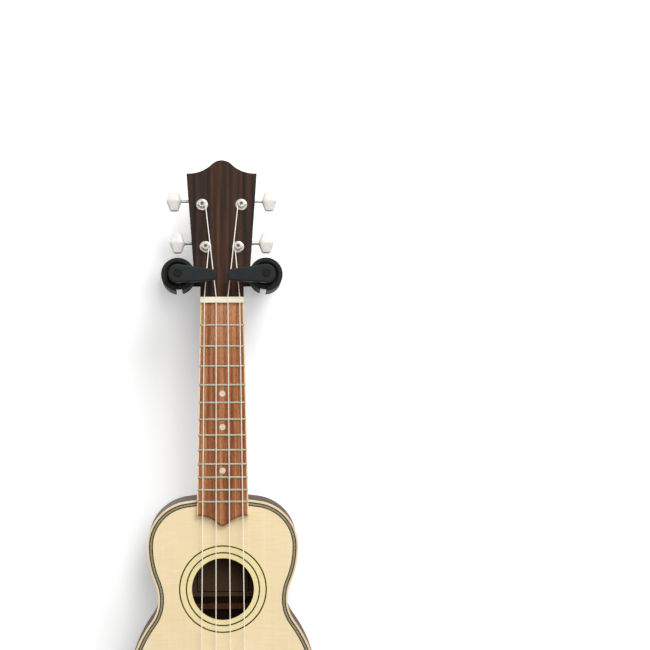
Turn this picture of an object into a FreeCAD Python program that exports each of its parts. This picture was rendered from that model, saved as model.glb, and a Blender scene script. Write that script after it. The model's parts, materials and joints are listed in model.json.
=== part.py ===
"""A soprano ukulele hanging in a self-closing wall hanger.

Frame: +Z is up, the front faces -Y, and the origin is the centre of the wall plate's back face.
Most pieces are drawn as they look from the front, in (x, up, out), where out is the distance from
the wall, and are then turned upright by a Placement.  Millimetres throughout.
"""
import FreeCAD, Part
import math
import os
from types import SimpleNamespace

import Sketcher
from FreeCAD import Placement, Rotation, Vector

SIZES = [
    # strings and scale
    ("scale_length", 346),
    ("fret_count", 12),
    ("string_count", 4),
    ("string_diameter", 0.8),
    ("nut_string_pitch", 10.2),
    ("saddle_string_pitch", 12.8),
    ("nut_string_height", 1.7),
    ("saddle_string_height", 5.1),
    ("string_bend", 3.0),
    # neck and fretboard
    ("nut_width", 37.7),
    ("nut_thickness", 5.0),
    ("board_end_width", 45.0),
    ("board_end", 184.9),
    ("board_tip_drop", 9.4),
    ("board_tip_round", 5.0),
    ("board_thickness", 5.0),
    ("board_bevel", 1.2),
    ("board_binding", 1.0),
    ("fret_radius", 1.05),
    ("fret_height", 0.9),
    ("fret_tang", 0.5),
    ("fret_tang_depth", 1.6),
    ("marker_diameter", 5.3),
    ("inlay_depth", 0.8),
    ("neck_depth", 14.0),
    ("neck_heel_depth", 17.0),
    ("heel_length", 26.0),
    ("heel_foot_width", 24.0),
    ("heel_foot_length", 11.0),
    ("heel_cap_thickness", 2.0),
    ("heel_flare", 2.5),
    ("heel_side_inset", 0.5),
    ("neck_overrun", 14.0),
    # head, leaning back from the nut
    ("head_tilt", 12.0),
    ("head_thickness", 12.0),
    ("veneer_thickness", 1.5),
    ("head_length", 122.7),
    ("head_shoulder_drop", 12.0),
    ("head_top_width", 61.7),
    ("head_hump_round", 12.0),
    ("ogee_angle", 45.0),
    ("flare_start", 12.0),
    ("flare_radius", 19.1),
    ("flare_angle", 41.0),
    ("flare_corner", 5.0),
    # body
    ("body_out", 85.0),
    ("body_depth", 58.0),
    ("body_top", 171.1),
    ("body_length", 241.0),
    ("shoulder_width", 131.6),
    ("shoulder_height", 41.5),
    ("shoulder_turn", 81.0),
    ("shoulder_share", 0.66),
    ("waist_width", 112.6),
    ("waist_height", 88.4),
    ("bout_width", 167.0),
    ("bout_height", 171.2),
    ("bout_turn", 53.13),
    ("bout_share", 0.766),
    ("plate_thickness", 2.0),
    ("rib_thickness", 2.2),
    ("binding_width", 1.5),
    ("binding_depth", 5.0),
    ("purfling_width", 3.5),
    ("purfling_depth", 1.0),
    ("lining_width", 5.0),
    ("lining_depth", 9.0),
    ("hole_height", 78.8),
    ("hole_diameter", 54.1),
    ("rosette_inner", 63.6),
    ("rosette_outer", 75.4),
    ("rosette_line", 1.2),
    ("neck_block_width", 48.0),
    ("neck_block_length", 16.0),
    ("tail_block_width", 54.0),
    ("tail_block_length", 12.0),
    ("brace_width", 5.0),
    ("brace_height", 8.0),
    ("bridge_width", 75.0),
    ("bridge_length", 19.0),
    ("bridge_height", 7.0),
    ("bridge_wing", 10.0),
    ("bridge_wing_height", 3.5),
    ("bridge_slope", 2.0),
    ("tie_notch_width", 1.4),
    ("tie_notch_length", 5.5),
    ("bridge_plate_length", 26.0),
    ("saddle_thickness", 3.0),
    ("saddle_width", 52.0),
    ("label_width", 54.0),
    ("label_length", 62.0),
    ("label_thickness", 0.3),
    # tuners
    ("low_post_height", 44.4),
    ("high_post_height", 82.4),
    ("low_post_offset", 14.2),
    ("high_post_offset", 17.15),
    ("post_radius", 3.0),
    ("post_waist_radius", 2.4),
    ("post_proud", 5.6),
    ("post_edge", 0.3),
    ("post_head", 1.2),
    ("post_foot_radius", 1.8),
    ("post_dimple_radius", 1.2),
    ("post_dimple_depth", 1.5),
    ("string_hole_radius", 0.7),
    ("running_gap", 0.06),
    ("ferrule_diameter", 10.8),
    ("ferrule_thickness", 1.6),
    ("ferrule_sleeve_radius", 4.3),
    ("ferrule_sleeve_depth", 7.0),
    ("gear_teeth", 14),
    ("worm_pitch", 2.2),
    ("worm_pitch_radius", 2.6),
    ("worm_turns", 3),
    ("tooth_addendum", 0.55),
    ("tooth_dedendum", 0.75),
    ("tooth_width", 0.8),
    ("gear_thickness", 2.4),
    ("worm_shaft_radius", 1.45),
    ("worm_lift", 0.35),
    ("tuner_plate_width", 16.0),
    ("tuner_plate_length", 25.0),
    ("tuner_plate_thickness", 1.0),
    ("ear_thickness", 1.5),
    ("ear_height", 6.4),
    ("ear_drop", 2.6),
    ("ear_gap", 0.8),
    ("plate_screw_radius", 1.05),
    ("plate_screw_head_radius", 2.0),
    ("plate_screw_head", 0.9),
    ("plate_screw_inset", 2.6),
    ("wheel_screw_radius", 2.4),
    ("wheel_screw_head", 1.2),
    ("screw_slot_width", 0.7),
    ("screw_slot_depth", 0.6),
    ("collar_length", 1.5),
    ("collar_gap", 0.3),
    ("button_reach", 19.0),
    ("button_length", 11.6),
    ("button_height", 18.2),
    ("button_thickness", 8.0),
    ("button_root", 2.2),
    ("button_root_length", 0.9),
    ("button_end_width", 6.4),
    ("button_end_thickness", 4.6),
    ("button_corner", 2.4),
    # hanger
    ("nut_height", -15.0),
    ("wall_plate_width", 36.0),
    ("wall_plate_length", 110.0),
    ("wall_plate_thickness", 6.0),
    ("wall_screw_spacing", 92.0),
    ("wall_screw_hole", 5.0),
    ("wall_plate_edge", 1.5),
    ("frame_thickness", 5.0),
    ("lug_thickness", 6.0),
    ("lug_margin", 3.0),
    ("lug_gap", 1.0),
    ("rod_radius", 2.5),
    ("rod_spacing", 24.0),
    ("rod_out", 30.5),
    ("slide_gap", 0.1),
    ("yoke_travel", 15.0),
    ("spring_length", 14.0),
    ("spring_radius", 4.2),
    ("spring_wire", 0.8),
    ("spring_turns", 6),
    ("cam_thickness", 3.0),
    ("cam_slot_gap", 0.6),
    ("cam_slot_room", 1.0),
    ("cam_margin", 3.0),
    ("carrier_back", 24.5),
    ("carrier_depth", 12.0),
    ("carrier_below", 6.5),
    ("carrier_above", 14.0),
    ("carrier_end", 8.5),
    ("carrier_corner", 3.0),
    ("carrier_hump_margin", 4.0),
    ("carrier_cover", 2.5),
    ("arm_tilt", 4.5),
    ("ring_height", 24.6),
    ("ring_out", 92.0),
    ("ring_radius", 14.5),
    ("ring_bore", 9.55),
    ("ring_depth", 44.0),
    ("ring_slot", 5.3),
    ("ring_slot_turn_left", 4.0),
    ("ring_slot_turn_right", 10.0),
    ("ring_mouth", 11.2),
    ("ring_mouth_depth", 5.0),
    ("ring_edge", 0.8),
    ("seat_gap", 0.5),
    ("tube_radius", 5.0),
    ("shaft_radius", 3.0),
    ("sleeve_recess", 4.0),
    ("sleeve_start", 1.5),
    ("tube_inset", 0.8),
    ("tube_gate_gap", 0.5),
    ("gate_gap", 3.0),
    ("gate_thickness", 9.0),
    ("gate_pivot_radius", 8.0),
    ("gate_tip_radius", 5.1),
    ("gate_reach", 33.8),
    ("gate_tip_lift", 1.3),
    ("gate_bevel", 1.2),
    ("gate_cap_radius", 3.1),
    ("gate_cap_thickness", 1.0),
    ("gate_cap_groove", 0.5),
    ("gate_cap_proud", 0.4),
    ("crank_length", 10.6),
    ("crank_thickness", 3.0),
    ("crank_pin_radius", 1.5),
    ("crank_back", 18.5),
    ("crank_angle", 45.0),
    ("crank_eye_wall", 2.5),
    ("crank_web_radius", 2.6),
    ("screw_radius", 2.0),
    ("screw_head_radius", 3.6),
    ("screw_head_height", 2.2),
    ("screw_sink", 5.0),
    ("screw_socket_radius", 1.3),
    ("screw_socket_depth", 1.2),
    ("fit_gap", 0.05),
]

doc = FreeCAD.newDocument("UkuleleOnHanger")
sheet = doc.addObject("Spreadsheet::Sheet", "Sizes")
rows = []


def add_row(alias, value):
    """Write a named value into the next row of the sheet."""
    rows.append(alias)
    sheet.set("A%d" % len(rows), alias)
    sheet.set("B%d" % len(rows), str(value))
    sheet.setAlias("B%d" % len(rows), alias)


for alias, value in SIZES:
    add_row(alias, value)
doc.recompute()
size = SimpleNamespace(**{alias: float(sheet.get(alias)) for alias, _ in SIZES})

RIGHT, UP, OUT = Vector(1, 0, 0), Vector(0, 1, 0), Vector(0, 0, 1)
ORIGIN = Vector(0, 0, 0)
SIDES = (("left", -1), ("right", 1))
FAR = 500.0            # longer than any piece, for cutting tools

# ---------------------------------------------------------------- places
UPRIGHT = Rotation(RIGHT, 90)
WALL = Placement(ORIGIN, UPRIGHT)
NECK = Placement(Vector(0, 0, size.nut_height), UPRIGHT)
HEAD = NECK * Placement(Vector(0, size.nut_thickness, size.body_out), Rotation(RIGHT, -size.head_tilt))

nodes = []


def keep(obj, label):
    """Give an object the name of its node and list it for export."""
    obj.Label = label
    nodes.append(obj)
    return obj


def piece(label, shape, place):
    """A sub-part whose shape is drawn in its own flat frame and then placed."""
    obj = doc.addObject("Part::Feature", label)
    obj.Shape = shape
    obj.Placement = place * shape.Placement
    return keep(obj, label)


def placed(shape, place):
    """A copy of a shape, moved as a whole."""
    copy = shape.copy()
    copy.Placement = place * shape.Placement
    return copy


# ---------------------------------------------------------------- drawing helpers
def at(x, y, out=0.0):
    return Vector(x, y, out)


def polar(centre, radius, degrees):
    turn = math.radians(degrees)
    return centre + Vector(radius * math.cos(turn), radius * math.sin(turn), 0)


def line(start, end):
    return Part.LineSegment(start, end).toShape()


def arc_about(centre, start, end):
    """The shorter arc from start to end round a centre."""
    middle = (start - centre) + (end - centre)
    middle.normalize()
    return Part.Arc(start, centre + middle * (start - centre).Length, end).toShape()


def mirrored(edges):
    """The same edges across the centre line, in reverse order."""
    return [edge.mirror(ORIGIN, RIGHT) for edge in reversed(edges)]


def face_of(edges):
    return Part.Face(Part.Wire(Part.__sortEdges__(edges)))


def slab(edges, low, high):
    """A closed outline, thick from low to high."""
    face = face_of(edges)
    face.translate(at(0, 0, low))
    return face.extrude(at(0, 0, high - low))


def block(x_range, y_range, out_range):
    low = at(x_range[0], y_range[0], out_range[0])
    return Part.makeBox(x_range[1] - x_range[0], y_range[1] - y_range[0], out_range[1] - out_range[0], low)


def disc(centre, radius, low, high):
    return Part.makeCylinder(radius, high - low, at(centre.x, centre.y, low), OUT)


def polygon(points, low, high):
    return slab([line(a, b) for a, b in zip(points, points[1:] + points[:1])], low, high)


def fused(shapes):
    return shapes[0].multiFuse(shapes[1:]).removeSplitter() if len(shapes) > 1 else shapes[0]


def group(shapes):
    return Part.makeCompound(shapes)


def tube(points, radius, bend):
    """A round bar through points, with each corner rounded by an arc."""
    edges, start = [], points[0]
    for before, corner, after in zip(points, points[1:], points[2:]):
        come, go = (corner - before).normalize(), (after - corner).normalize()
        turn = come.getAngle(go)
        reach = bend * math.tan(turn / 2)
        first, last = corner - come * reach, corner + go * reach
        inward = (go - come).normalize()
        centre = corner + inward * (bend / math.cos(turn / 2))
        edges.append(line(start, first))
        edges.append(Part.Arc(first, centre - inward * bend, last).toShape())
        start = last
    edges.append(line(start, points[-1]))
    ring = Part.Wire(Part.makeCircle(radius, points[0], points[1] - points[0]))
    return Part.Wire(edges).makePipeShell([ring], True, True)


def ogee(half_width, drop, hump_round):
    """A top edge that sweeps up from two corners, drop below the peak at the origin, to a round hump."""
    hump = at(0, -hump_round)
    meet = polar(hump, hump_round, 90 - size.ogee_angle)
    corner = at(half_width, -drop)
    span, fall = half_width - meet.x, drop + meet.y
    turn = math.radians(size.ogee_angle)
    sweep = (span ** 2 + fall ** 2) / (2 * (span * math.sin(turn) - fall * math.cos(turn)))
    hollow = meet + Vector(sweep * math.sin(turn), sweep * math.cos(turn), 0)
    return [arc_about(hump, at(0, 0), meet), arc_about(hollow, meet, corner)]


# ---------------------------------------------------------------- body outline
body_low = -(size.body_top + size.body_length)
body_top = -size.body_top
hole_centre = at(0, body_top - size.hole_height)
front, back = size.body_out, size.body_out - size.body_depth
front_inside, back_inside = front - size.plate_thickness, back + size.plate_thickness


def end_rounds(widest, edge, turn):
    """Radii of the two arcs from a widest point to the body's end, which meet after that many degrees."""
    across, rise = widest.x, abs(edge - widest.y)
    sine, cosine = math.sin(math.radians(turn)), math.cos(math.radians(turn))
    side = (rise * cosine - across * (1 - sine)) / (sine + cosine - 1)
    end = (across * sine - rise * (1 - cosine)) / (sine + cosine - 1)
    return side, end


def hollow_rounds(widest, waist, share):
    """Radii of the two arcs that run from a widest point to the waist, both upright at their ends."""
    across, along = widest.x - waist.x, widest.y - waist.y
    total = (across ** 2 + along ** 2) / (2 * across)
    return share * total, (1 - share) * total


def lobe_marks(widest, waist, edge, turn, share, inset):
    """The arcs' centres and starts from the body's end over its widest point to the waist."""
    side, end = end_rounds(widest, edge, turn)
    round_in, hollow = hollow_rounds(widest, waist, share)
    outward = math.copysign(1, edge - widest.y)
    end_centre = at(0, edge - outward * end)
    meet = end_centre + polar(ORIGIN, end - inset, outward * turn)
    side_centre, in_centre = widest - RIGHT * side, widest - RIGHT * round_in
    hollow_centre = waist + RIGHT * hollow
    return [(end_centre, at(0, edge - outward * inset)),
            (side_centre, meet),
            (in_centre, widest - RIGHT * inset),
            (hollow_centre, in_centre + (hollow_centre - in_centre).normalize() * (round_in - inset)),
            (None, waist - RIGHT * inset)]


def body_outline(inset=0.0):
    """The body's edge, or a line that runs inside it at an even distance."""
    waist = at(size.waist_width / 2, body_top - size.waist_height)
    shoulder = at(size.shoulder_width / 2, body_top - size.shoulder_height)
    bout = at(size.bout_width / 2, body_top - size.bout_height)
    half = []
    for lobe in ((shoulder, waist, body_top, size.shoulder_turn, size.shoulder_share, inset),
                 (bout, waist, body_low, size.bout_turn, size.bout_share, inset)):
        marks = lobe_marks(*lobe)
        arcs = [arc_about(centre, start, end) for (centre, start), (_, end) in zip(marks, marks[1:])]
        half += arcs if not half else list(reversed(arcs))
    return half + mirrored(half)


def body_slab(inset, low, high):
    return slab(body_outline(inset), low, high)


def body_ring(outer, inner, low, high):
    return body_slab(outer, low, high).cut(body_slab(inner, low - 1, high + 1))


# ---------------------------------------------------------------- fretboard and strings
def fret_place(number):
    return -size.scale_length * (1 - 2 ** (-number / 12.0))


def board_half(y):
    """Half width of the fretboard at a height below the nut."""
    taper = (size.board_end_width - size.nut_width) / size.board_end
    return (size.nut_width - taper * y) / 2


board_top = front + size.board_thickness
board_corner = -size.board_end
frets = [fret_place(number) for number in range(1, int(size.fret_count) + 1)]
saddle_place = -size.scale_length - size.saddle_thickness / 2


def string_side(number):
    """Strings are counted from the left, and lie evenly either side of the centre."""
    return number - (size.string_count - 1) / 2


def head_point(x, along, proud):
    """A point of the head's own frame, seen in the neck's frame."""
    tilt = math.radians(size.head_tilt)
    return at(x, size.nut_thickness + along * math.cos(tilt) + proud * math.sin(tilt),
              front - along * math.sin(tilt) + proud * math.cos(tilt))


posts = [at(-size.low_post_offset, size.low_post_height), at(-size.high_post_offset, size.high_post_height),
         at(size.high_post_offset, size.high_post_height), at(size.low_post_offset, size.low_post_height)]
string_radius = size.string_diameter / 2
string_over_nut = board_top + size.nut_string_height
string_over_saddle = board_top + size.saddle_string_height
saddle_top = string_over_saddle - string_radius
WRAP_LOW, WRAP_HIGH = 2.7, 3.6       # where the low and the high posts take their strings, above the head


def string_path(number):
    step = string_side(number)
    post = posts[number]
    low = abs(post.x) < size.high_post_offset
    reach = size.post_waist_radius + string_radius + size.fit_gap
    inner = post.x - math.copysign(reach, post.x)
    tie = saddle_place - size.bridge_length / 2
    return [
        head_point(inner, post.y, WRAP_LOW if low else WRAP_HIGH),
        at(step * size.nut_string_pitch, size.nut_thickness, string_over_nut),
        at(step * size.saddle_string_pitch, saddle_place, string_over_saddle),
        at(step * size.saddle_string_pitch, tie + 1.0, front + size.bridge_height * 0.55),
    ]


def string_set(extra=0.0):
    """The strings, or the slots that they lie in when extra is more than nothing."""
    return [tube(string_path(number), string_radius + extra, size.string_bend)
            for number in range(int(size.string_count))]


string_slots = group(string_set(size.fit_gap))


def board_outline(inset):
    """The fretboard seen from the front, with its sides drawn in by the binding."""
    corner = at(board_half(board_corner) - inset, board_corner)
    start = at(board_half(0) - inset, 0)
    tip = [edge.mirror(ORIGIN, UP) for edge in ogee(corner.x, size.board_tip_drop, size.board_tip_round)]
    for edge in tip:
        edge.translate(at(0, board_corner - size.board_tip_drop))
    half = [line(at(0, 0), start), line(start, corner)] + list(reversed(tip))
    return half + mirrored(half)


def board_with_bevel():
    board = slab(board_outline(size.board_binding), front, board_top)
    rim = [edge for edge in board.Edges
           if edge.BoundBox.ZMin > board_top - 0.01 and edge.BoundBox.YMax < board_corner + 0.01]
    return board.makeChamfer(size.board_bevel, rim)


def fret_bar(y, grow=0.0):
    """One fret: a low round crown on a thin tang."""
    half = board_half(y) - size.board_binding / 2
    crown_base = board_top + size.fret_height - size.fret_radius
    crown = Part.makeCylinder(size.fret_radius, 2 * half, at(-half, y, crown_base), RIGHT)
    crown = crown.common(block((-half, half), (y - FAR, y + FAR), (board_top, board_top + FAR)))
    side = size.fret_tang / 2 + grow
    depth = size.fret_tang_depth + grow
    tang = block((-half, half), (y - side, y + side), (board_top - depth, board_top + size.fret_height / 4))
    return crown.fuse(tang).removeSplitter()


def marker_disc(fret, grow=0.0):
    y = (fret_place(fret) + fret_place(fret - 1)) / 2
    return disc(at(0, y), size.marker_diameter / 2 + grow, board_top - size.inlay_depth, board_top)


MARKED_FRETS = (5, 7, 10)
tang_slots = [block((-FAR, FAR), (y - size.fret_tang / 2, y + size.fret_tang / 2),
                    (board_top - size.fret_tang_depth, board_top + 1)) for y in frets]
marker_discs = [marker_disc(fret) for fret in MARKED_FRETS]


def make_fretboard():
    board = board_with_bevel().cut(group(tang_slots)).cut(group(marker_discs))
    piece("fretboard", board, NECK)
    outer = slab(board_outline(0), front, board_top)
    inner = slab(board_outline(size.board_binding), front - 1, board_top + 1)
    sides = outer.cut(inner).common(block((-FAR, FAR), (board_corner, 0), (front, board_top)))
    sides = sides.cut(group(tang_slots))
    piece("fretboard_binding", sides, NECK)
    piece("frets", group([fret_bar(y) for y in frets]), NECK)
    piece("fret_markers", group(marker_discs), NECK)


def make_nut_and_strings():
    half = size.nut_width / 2
    nut = block((-half, half), (0, size.nut_thickness), (front, string_over_nut + string_radius * 0.4))
    piece("nut", nut.cut(string_slots), NECK)
    piece("strings", group(string_set()), NECK)


# ---------------------------------------------------------------- neck and head
def head_outline():
    """The head from the nut up: a straight neck, hollow cheeks, straight sides and an ogee top."""
    cheek = at(size.nut_width / 2 + size.flare_radius, size.flare_start)
    low = polar(cheek, size.flare_radius, 180)
    high = polar(cheek, size.flare_radius, 180 - size.flare_angle)
    turn = size.flare_angle
    corner = high + polar(ORIGIN, size.flare_corner, 180 - turn)
    shoulder = at(size.head_top_width / 2, size.head_length - size.head_shoulder_drop)
    side = math.degrees(math.atan2(shoulder.y - high.y, shoulder.x - corner.x - size.flare_corner))
    edge_start = polar(corner, size.flare_corner, side - 90)
    top = ogee(shoulder.x, size.head_shoulder_drop, size.head_hump_round)
    for edge in top:
        edge.translate(at(0, size.head_length))
    root = at(size.nut_width / 2, 0)
    half = [line(at(0, 0), root), line(root, low), arc_about(cheek, low, high),
            arc_about(corner, high, edge_start), line(edge_start, shoulder)] + list(reversed(top))
    return half + mirrored(half)


def flare_corner_centre():
    """Centre of the round corner that rests on the ring, in the head's frame."""
    cheek = at(size.nut_width / 2 + size.flare_radius, size.flare_start)
    high = polar(cheek, size.flare_radius, 180 - size.flare_angle)
    return high + polar(ORIGIN, size.flare_corner, 180 - size.flare_angle)


head_back = -(size.veneer_thickness + size.head_thickness)


def neck_section(y, depth):
    """A flat top with a half-oval back, as wide as the fretboard."""
    half = board_half(y)
    left, right = at(-half, y, front), at(half, y, front)
    shallow = depth * 0.35
    points = [left, at(-half, y, front - shallow), at(-half * 0.72, y, front - depth * 0.8),
              at(0, y, front - depth), at(half * 0.72, y, front - depth * 0.8),
              at(half, y, front - shallow), right]
    curve = Part.BSplineCurve()
    curve.interpolate(points[1:6])
    return Part.Wire([line(right, left), line(left, points[1]), curve.toShape(), line(points[5], right)])


def heel_section(out, half_width, length):
    """A tongue that starts inside the body and ends in a round nose towards the nut."""
    root = body_top - size.neck_overrun
    nose = body_top + length
    shoulder = nose - half_width
    if shoulder < root + 1:
        shoulder = root + 1
    left, right = at(-half_width, root, out), at(half_width, root, out)
    upper_left, upper_right = at(-half_width, shoulder, out), at(half_width, shoulder, out)
    curve = Part.Arc(upper_left, at(0, nose, out), upper_right).toShape()
    return Part.Wire([line(right, left), line(left, upper_left), curve, line(upper_right, right)])


def make_neck():
    heel_start = body_top + size.heel_length
    shaft_end = body_top - size.neck_overrun
    shaft = Part.makeLoft([neck_section(size.nut_thickness, size.neck_depth),
                           neck_section(heel_start, size.neck_heel_depth),
                           neck_section(shaft_end, size.neck_heel_depth)], True, True)
    foot = back + size.heel_cap_thickness
    top_half = board_half(body_top) - size.heel_side_inset
    top = front - size.neck_heel_depth * 0.45
    foot_half = size.heel_foot_width / 2
    below_neck = front - size.neck_heel_depth * 1.25
    near_foot = foot + size.body_depth * 0.35
    levels = [(top, top_half, size.heel_length),
              (below_neck, top_half * 0.88, size.heel_length * 0.62),
              (near_foot, foot_half + size.heel_flare, size.heel_foot_length + size.heel_flare),
              (foot, foot_half, size.heel_foot_length)]
    heel = Part.makeLoft([heel_section(*level) for level in levels], True, False)
    on_neck = NECK.inverse() * HEAD
    head = placed(slab(head_outline(), head_back, -size.veneer_thickness), on_neck)
    neck = fused([shaft, heel, head])
    neck = neck.cut(body_slab(0, back - 1, front + 1))
    veneer = placed(slab(head_outline(), -size.veneer_thickness, size.veneer_thickness), on_neck)
    bores = []
    for post in posts:
        bore = disc(post, size.post_radius + 4 * size.running_gap, head_back - 1, 1)
        seat = disc(post, size.ferrule_sleeve_radius, -size.ferrule_sleeve_depth, 1)
        bores += [bore, seat]
    bores = placed(group(bores), on_neck)
    piece("neck", neck.cut(veneer).cut(bores), NECK)
    cap = slab(heel_section(0, foot_half, size.heel_foot_length).Edges, back, foot)
    piece("heel_cap", cap.cut(body_slab(0, back - 1, front + 1)), NECK)
    plate = slab(head_outline(), -size.veneer_thickness, 0)
    holes = group([disc(post, size.ferrule_sleeve_radius, -5, 5) for post in posts])
    piece("head_veneer", plate.cut(holes), HEAD)


# ---------------------------------------------------------------- body
def make_body():
    purfling = body_ring(size.binding_width, size.binding_width + size.purfling_width,
                         front - size.purfling_depth, front)
    hole = disc(hole_centre, size.hole_diameter / 2, front_inside - 1, front + 1)
    lines = []
    for diameter in (size.rosette_inner, size.rosette_outer):
        ring = disc(hole_centre, (diameter + size.rosette_line) / 2, front - size.inlay_depth, front)
        lines.append(ring.cut(disc(hole_centre, (diameter - size.rosette_line) / 2, front - 5, front + 5)))
    soundboard = body_slab(size.binding_width, front_inside, front)
    piece("soundboard", soundboard.cut(hole).cut(purfling).cut(group(lines)), NECK)
    # the fretboard covers the purfling where it crosses the body's edge
    piece("purfling", purfling, NECK)
    piece("rosette", group(lines), NECK)
    piece("back_plate", body_slab(size.binding_width, back, back_inside), NECK)
    bindings = [("front_binding", front - size.binding_depth, front),
                ("back_binding", back, back + size.binding_depth)]
    rings = [body_ring(0, size.binding_width, low, high) for _, low, high in bindings]
    for (label, _, _), ring in zip(bindings, rings):
        piece(label, ring, NECK)
    ribs = body_ring(0, size.rib_thickness, back_inside, front_inside)
    piece("ribs", ribs.cut(group(rings)), NECK)


def inside(inset, shape):
    """Trim an inner piece to the body's inside."""
    return shape.common(body_slab(inset, back_inside, front_inside))


def make_inner_frame():
    liner = size.rib_thickness + size.lining_width
    neck_block = inside(size.rib_thickness, block(
        (-size.neck_block_width / 2, size.neck_block_width / 2),
        (body_top - size.rib_thickness - size.neck_block_length, body_top), (back_inside, front_inside)))
    tail_block = inside(size.rib_thickness, block(
        (-size.tail_block_width / 2, size.tail_block_width / 2),
        (body_low, body_low + size.rib_thickness + size.tail_block_length), (back_inside, front_inside)))
    piece("neck_block", neck_block, NECK)
    piece("tail_block", tail_block, NECK)
    blocks = group([neck_block, tail_block])
    for label, low, high in (("front_lining", front_inside - size.lining_depth, front_inside),
                             ("back_lining", back_inside, back_inside + size.lining_depth)):
        piece(label, body_ring(size.rib_thickness, liner, low, high).cut(blocks), NECK)
    half = size.brace_width / 2

    def brace(y, low, high):
        return inside(liner, block((-FAR, FAR), (y - half, y + half), (low, high)))

    clear = size.rosette_outer / 2 + 2 * size.brace_width
    plate_half = size.bridge_plate_length / 2
    bridge_plate = block((-size.bridge_width / 2, size.bridge_width / 2),
                         (saddle_place - plate_half, saddle_place + plate_half),
                         (front_inside - size.plate_thickness, front_inside))
    top_low = front_inside - size.brace_height
    braces = [brace(hole_centre.y + clear * 0.8, top_low, front_inside),
              brace(hole_centre.y - clear * 0.8, top_low, front_inside)]
    piece("top_braces", group(braces), NECK)
    piece("bridge_plate", bridge_plate, NECK)
    label_low = hole_centre.y - size.hole_diameter / 4
    back_high = back_inside + size.brace_height
    gap = 2.1 * size.brace_width
    places = [label_low + size.label_length + size.brace_width, label_low - gap + half,
              (label_low + body_low) / 2 - gap]
    piece("back_braces", group([brace(y, back_inside, back_high) for y in places]), NECK)
    paper = block((-size.label_width / 2, size.label_width / 2), (label_low, label_low + size.label_length),
                  (back_inside, back_inside + size.label_thickness))
    piece("label", paper, NECK)


def make_bridge():
    half, wing = size.bridge_width / 2, size.bridge_width / 2 - size.bridge_wing
    length = size.bridge_length / 2
    low, high, step = front, front + size.bridge_height, front + size.bridge_wing_height
    # seen from below: thin wings, a short slope and a flat middle
    slope = wing + size.bridge_slope
    profile = [(-half, low), (half, low), (half, step), (slope, step), (wing, high), (-wing, high),
               (-slope, step), (-half, step)]
    points = [at(x, saddle_place - length, out) for x, out in profile]
    face = Part.Face(Part.makePolygon(points + points[:1]))
    bridge = face.extrude(at(0, 2 * length))
    floor = front + size.bridge_height * 0.4
    slot = block((-size.saddle_width / 2, size.saddle_width / 2),
                 (saddle_place - size.saddle_thickness / 2, saddle_place + size.saddle_thickness / 2),
                 (floor, FAR))
    notches = []
    for number in range(int(size.string_count)):
        x = string_side(number) * size.saddle_string_pitch
        notches.append(block((x - size.tie_notch_width / 2, x + size.tie_notch_width / 2),
                             (saddle_place - length - 1, saddle_place - length + size.tie_notch_length),
                             (floor, FAR)))
    piece("bridge", bridge.cut(slot).cut(group(notches)).cut(string_slots), NECK)
    saddle = slot.common(block((-FAR, FAR), (-FAR, FAR), (front, saddle_top)))
    piece("saddle", saddle.cut(string_slots), NECK)


# ---------------------------------------------------------------- tuners
gear_pitch_radius = size.gear_teeth * size.worm_pitch / (2 * math.pi)
worm_rise = gear_pitch_radius + size.worm_pitch_radius
plate_low = head_back - size.tuner_plate_thickness
worm_level = plate_low - size.worm_pitch_radius - size.tooth_addendum - size.worm_lift
gear_high = worm_level + size.gear_thickness / 2
gear_low = worm_level - size.gear_thickness / 2
PRESSURE_ANGLE = 20.0
flank = math.tan(math.radians(PRESSURE_ANGLE))


def gear_wheel():
    """A wheel whose first tooth points up, at the middle of the worm."""
    root = gear_pitch_radius - size.tooth_dedendum
    tip = gear_pitch_radius + size.tooth_addendum
    half_root = size.tooth_width / 2 + size.tooth_dedendum * flank
    half_tip = size.tooth_width / 2 - size.tooth_addendum * flank
    outline = [at(-half_root, root - 0.3), at(half_root, root - 0.3), at(half_tip, tip), at(-half_tip, tip)]
    wheel = disc(ORIGIN, root, gear_low, gear_high)
    tooth = polygon(outline, gear_low, gear_high)
    teeth = []
    for number in range(int(size.gear_teeth)):
        copy = tooth.copy()
        copy.rotate(ORIGIN, OUT, number * 360.0 / size.gear_teeth)
        teeth.append(copy)
    return fused([wheel] + teeth)


def worm_thread():
    """A right-hand thread along +Z, centred on the origin, with a crest facing +X at half a pitch."""
    length = size.worm_turns * size.worm_pitch
    root = size.worm_pitch_radius - size.tooth_dedendum
    tip = size.worm_pitch_radius + size.tooth_addendum
    half_root = size.tooth_width / 2 + size.tooth_dedendum * flank
    half_tip = size.tooth_width / 2 - size.tooth_addendum * flank
    sink = 0.25
    path = Part.makeHelix(size.worm_pitch, length, size.worm_pitch_radius)
    corners = [at(root - sink, 0, -half_root), at(tip, 0, -half_tip), at(tip, 0, half_tip),
               at(root - sink, 0, half_root)]
    profile = Part.makePolygon(corners + corners[:1])
    ridge = Part.Wire(path).makePipeShell([profile], True, True)
    core = Part.makeCylinder(root, length + 2 * half_root, at(0, 0, -half_root), OUT)
    worm = core.fuse(ridge)
    worm.translate(at(0, 0, -length / 2))
    return worm


# lays a thread drawn along +Z along +X, with its start facing down to the wheel
WORM_TURN = Rotation(Vector(0, -1, 0), Vector(0, 0, -1), RIGHT, "ZXY")
ear_place = size.worm_turns * size.worm_pitch / 2 + size.tooth_width + size.ear_gap


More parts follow.
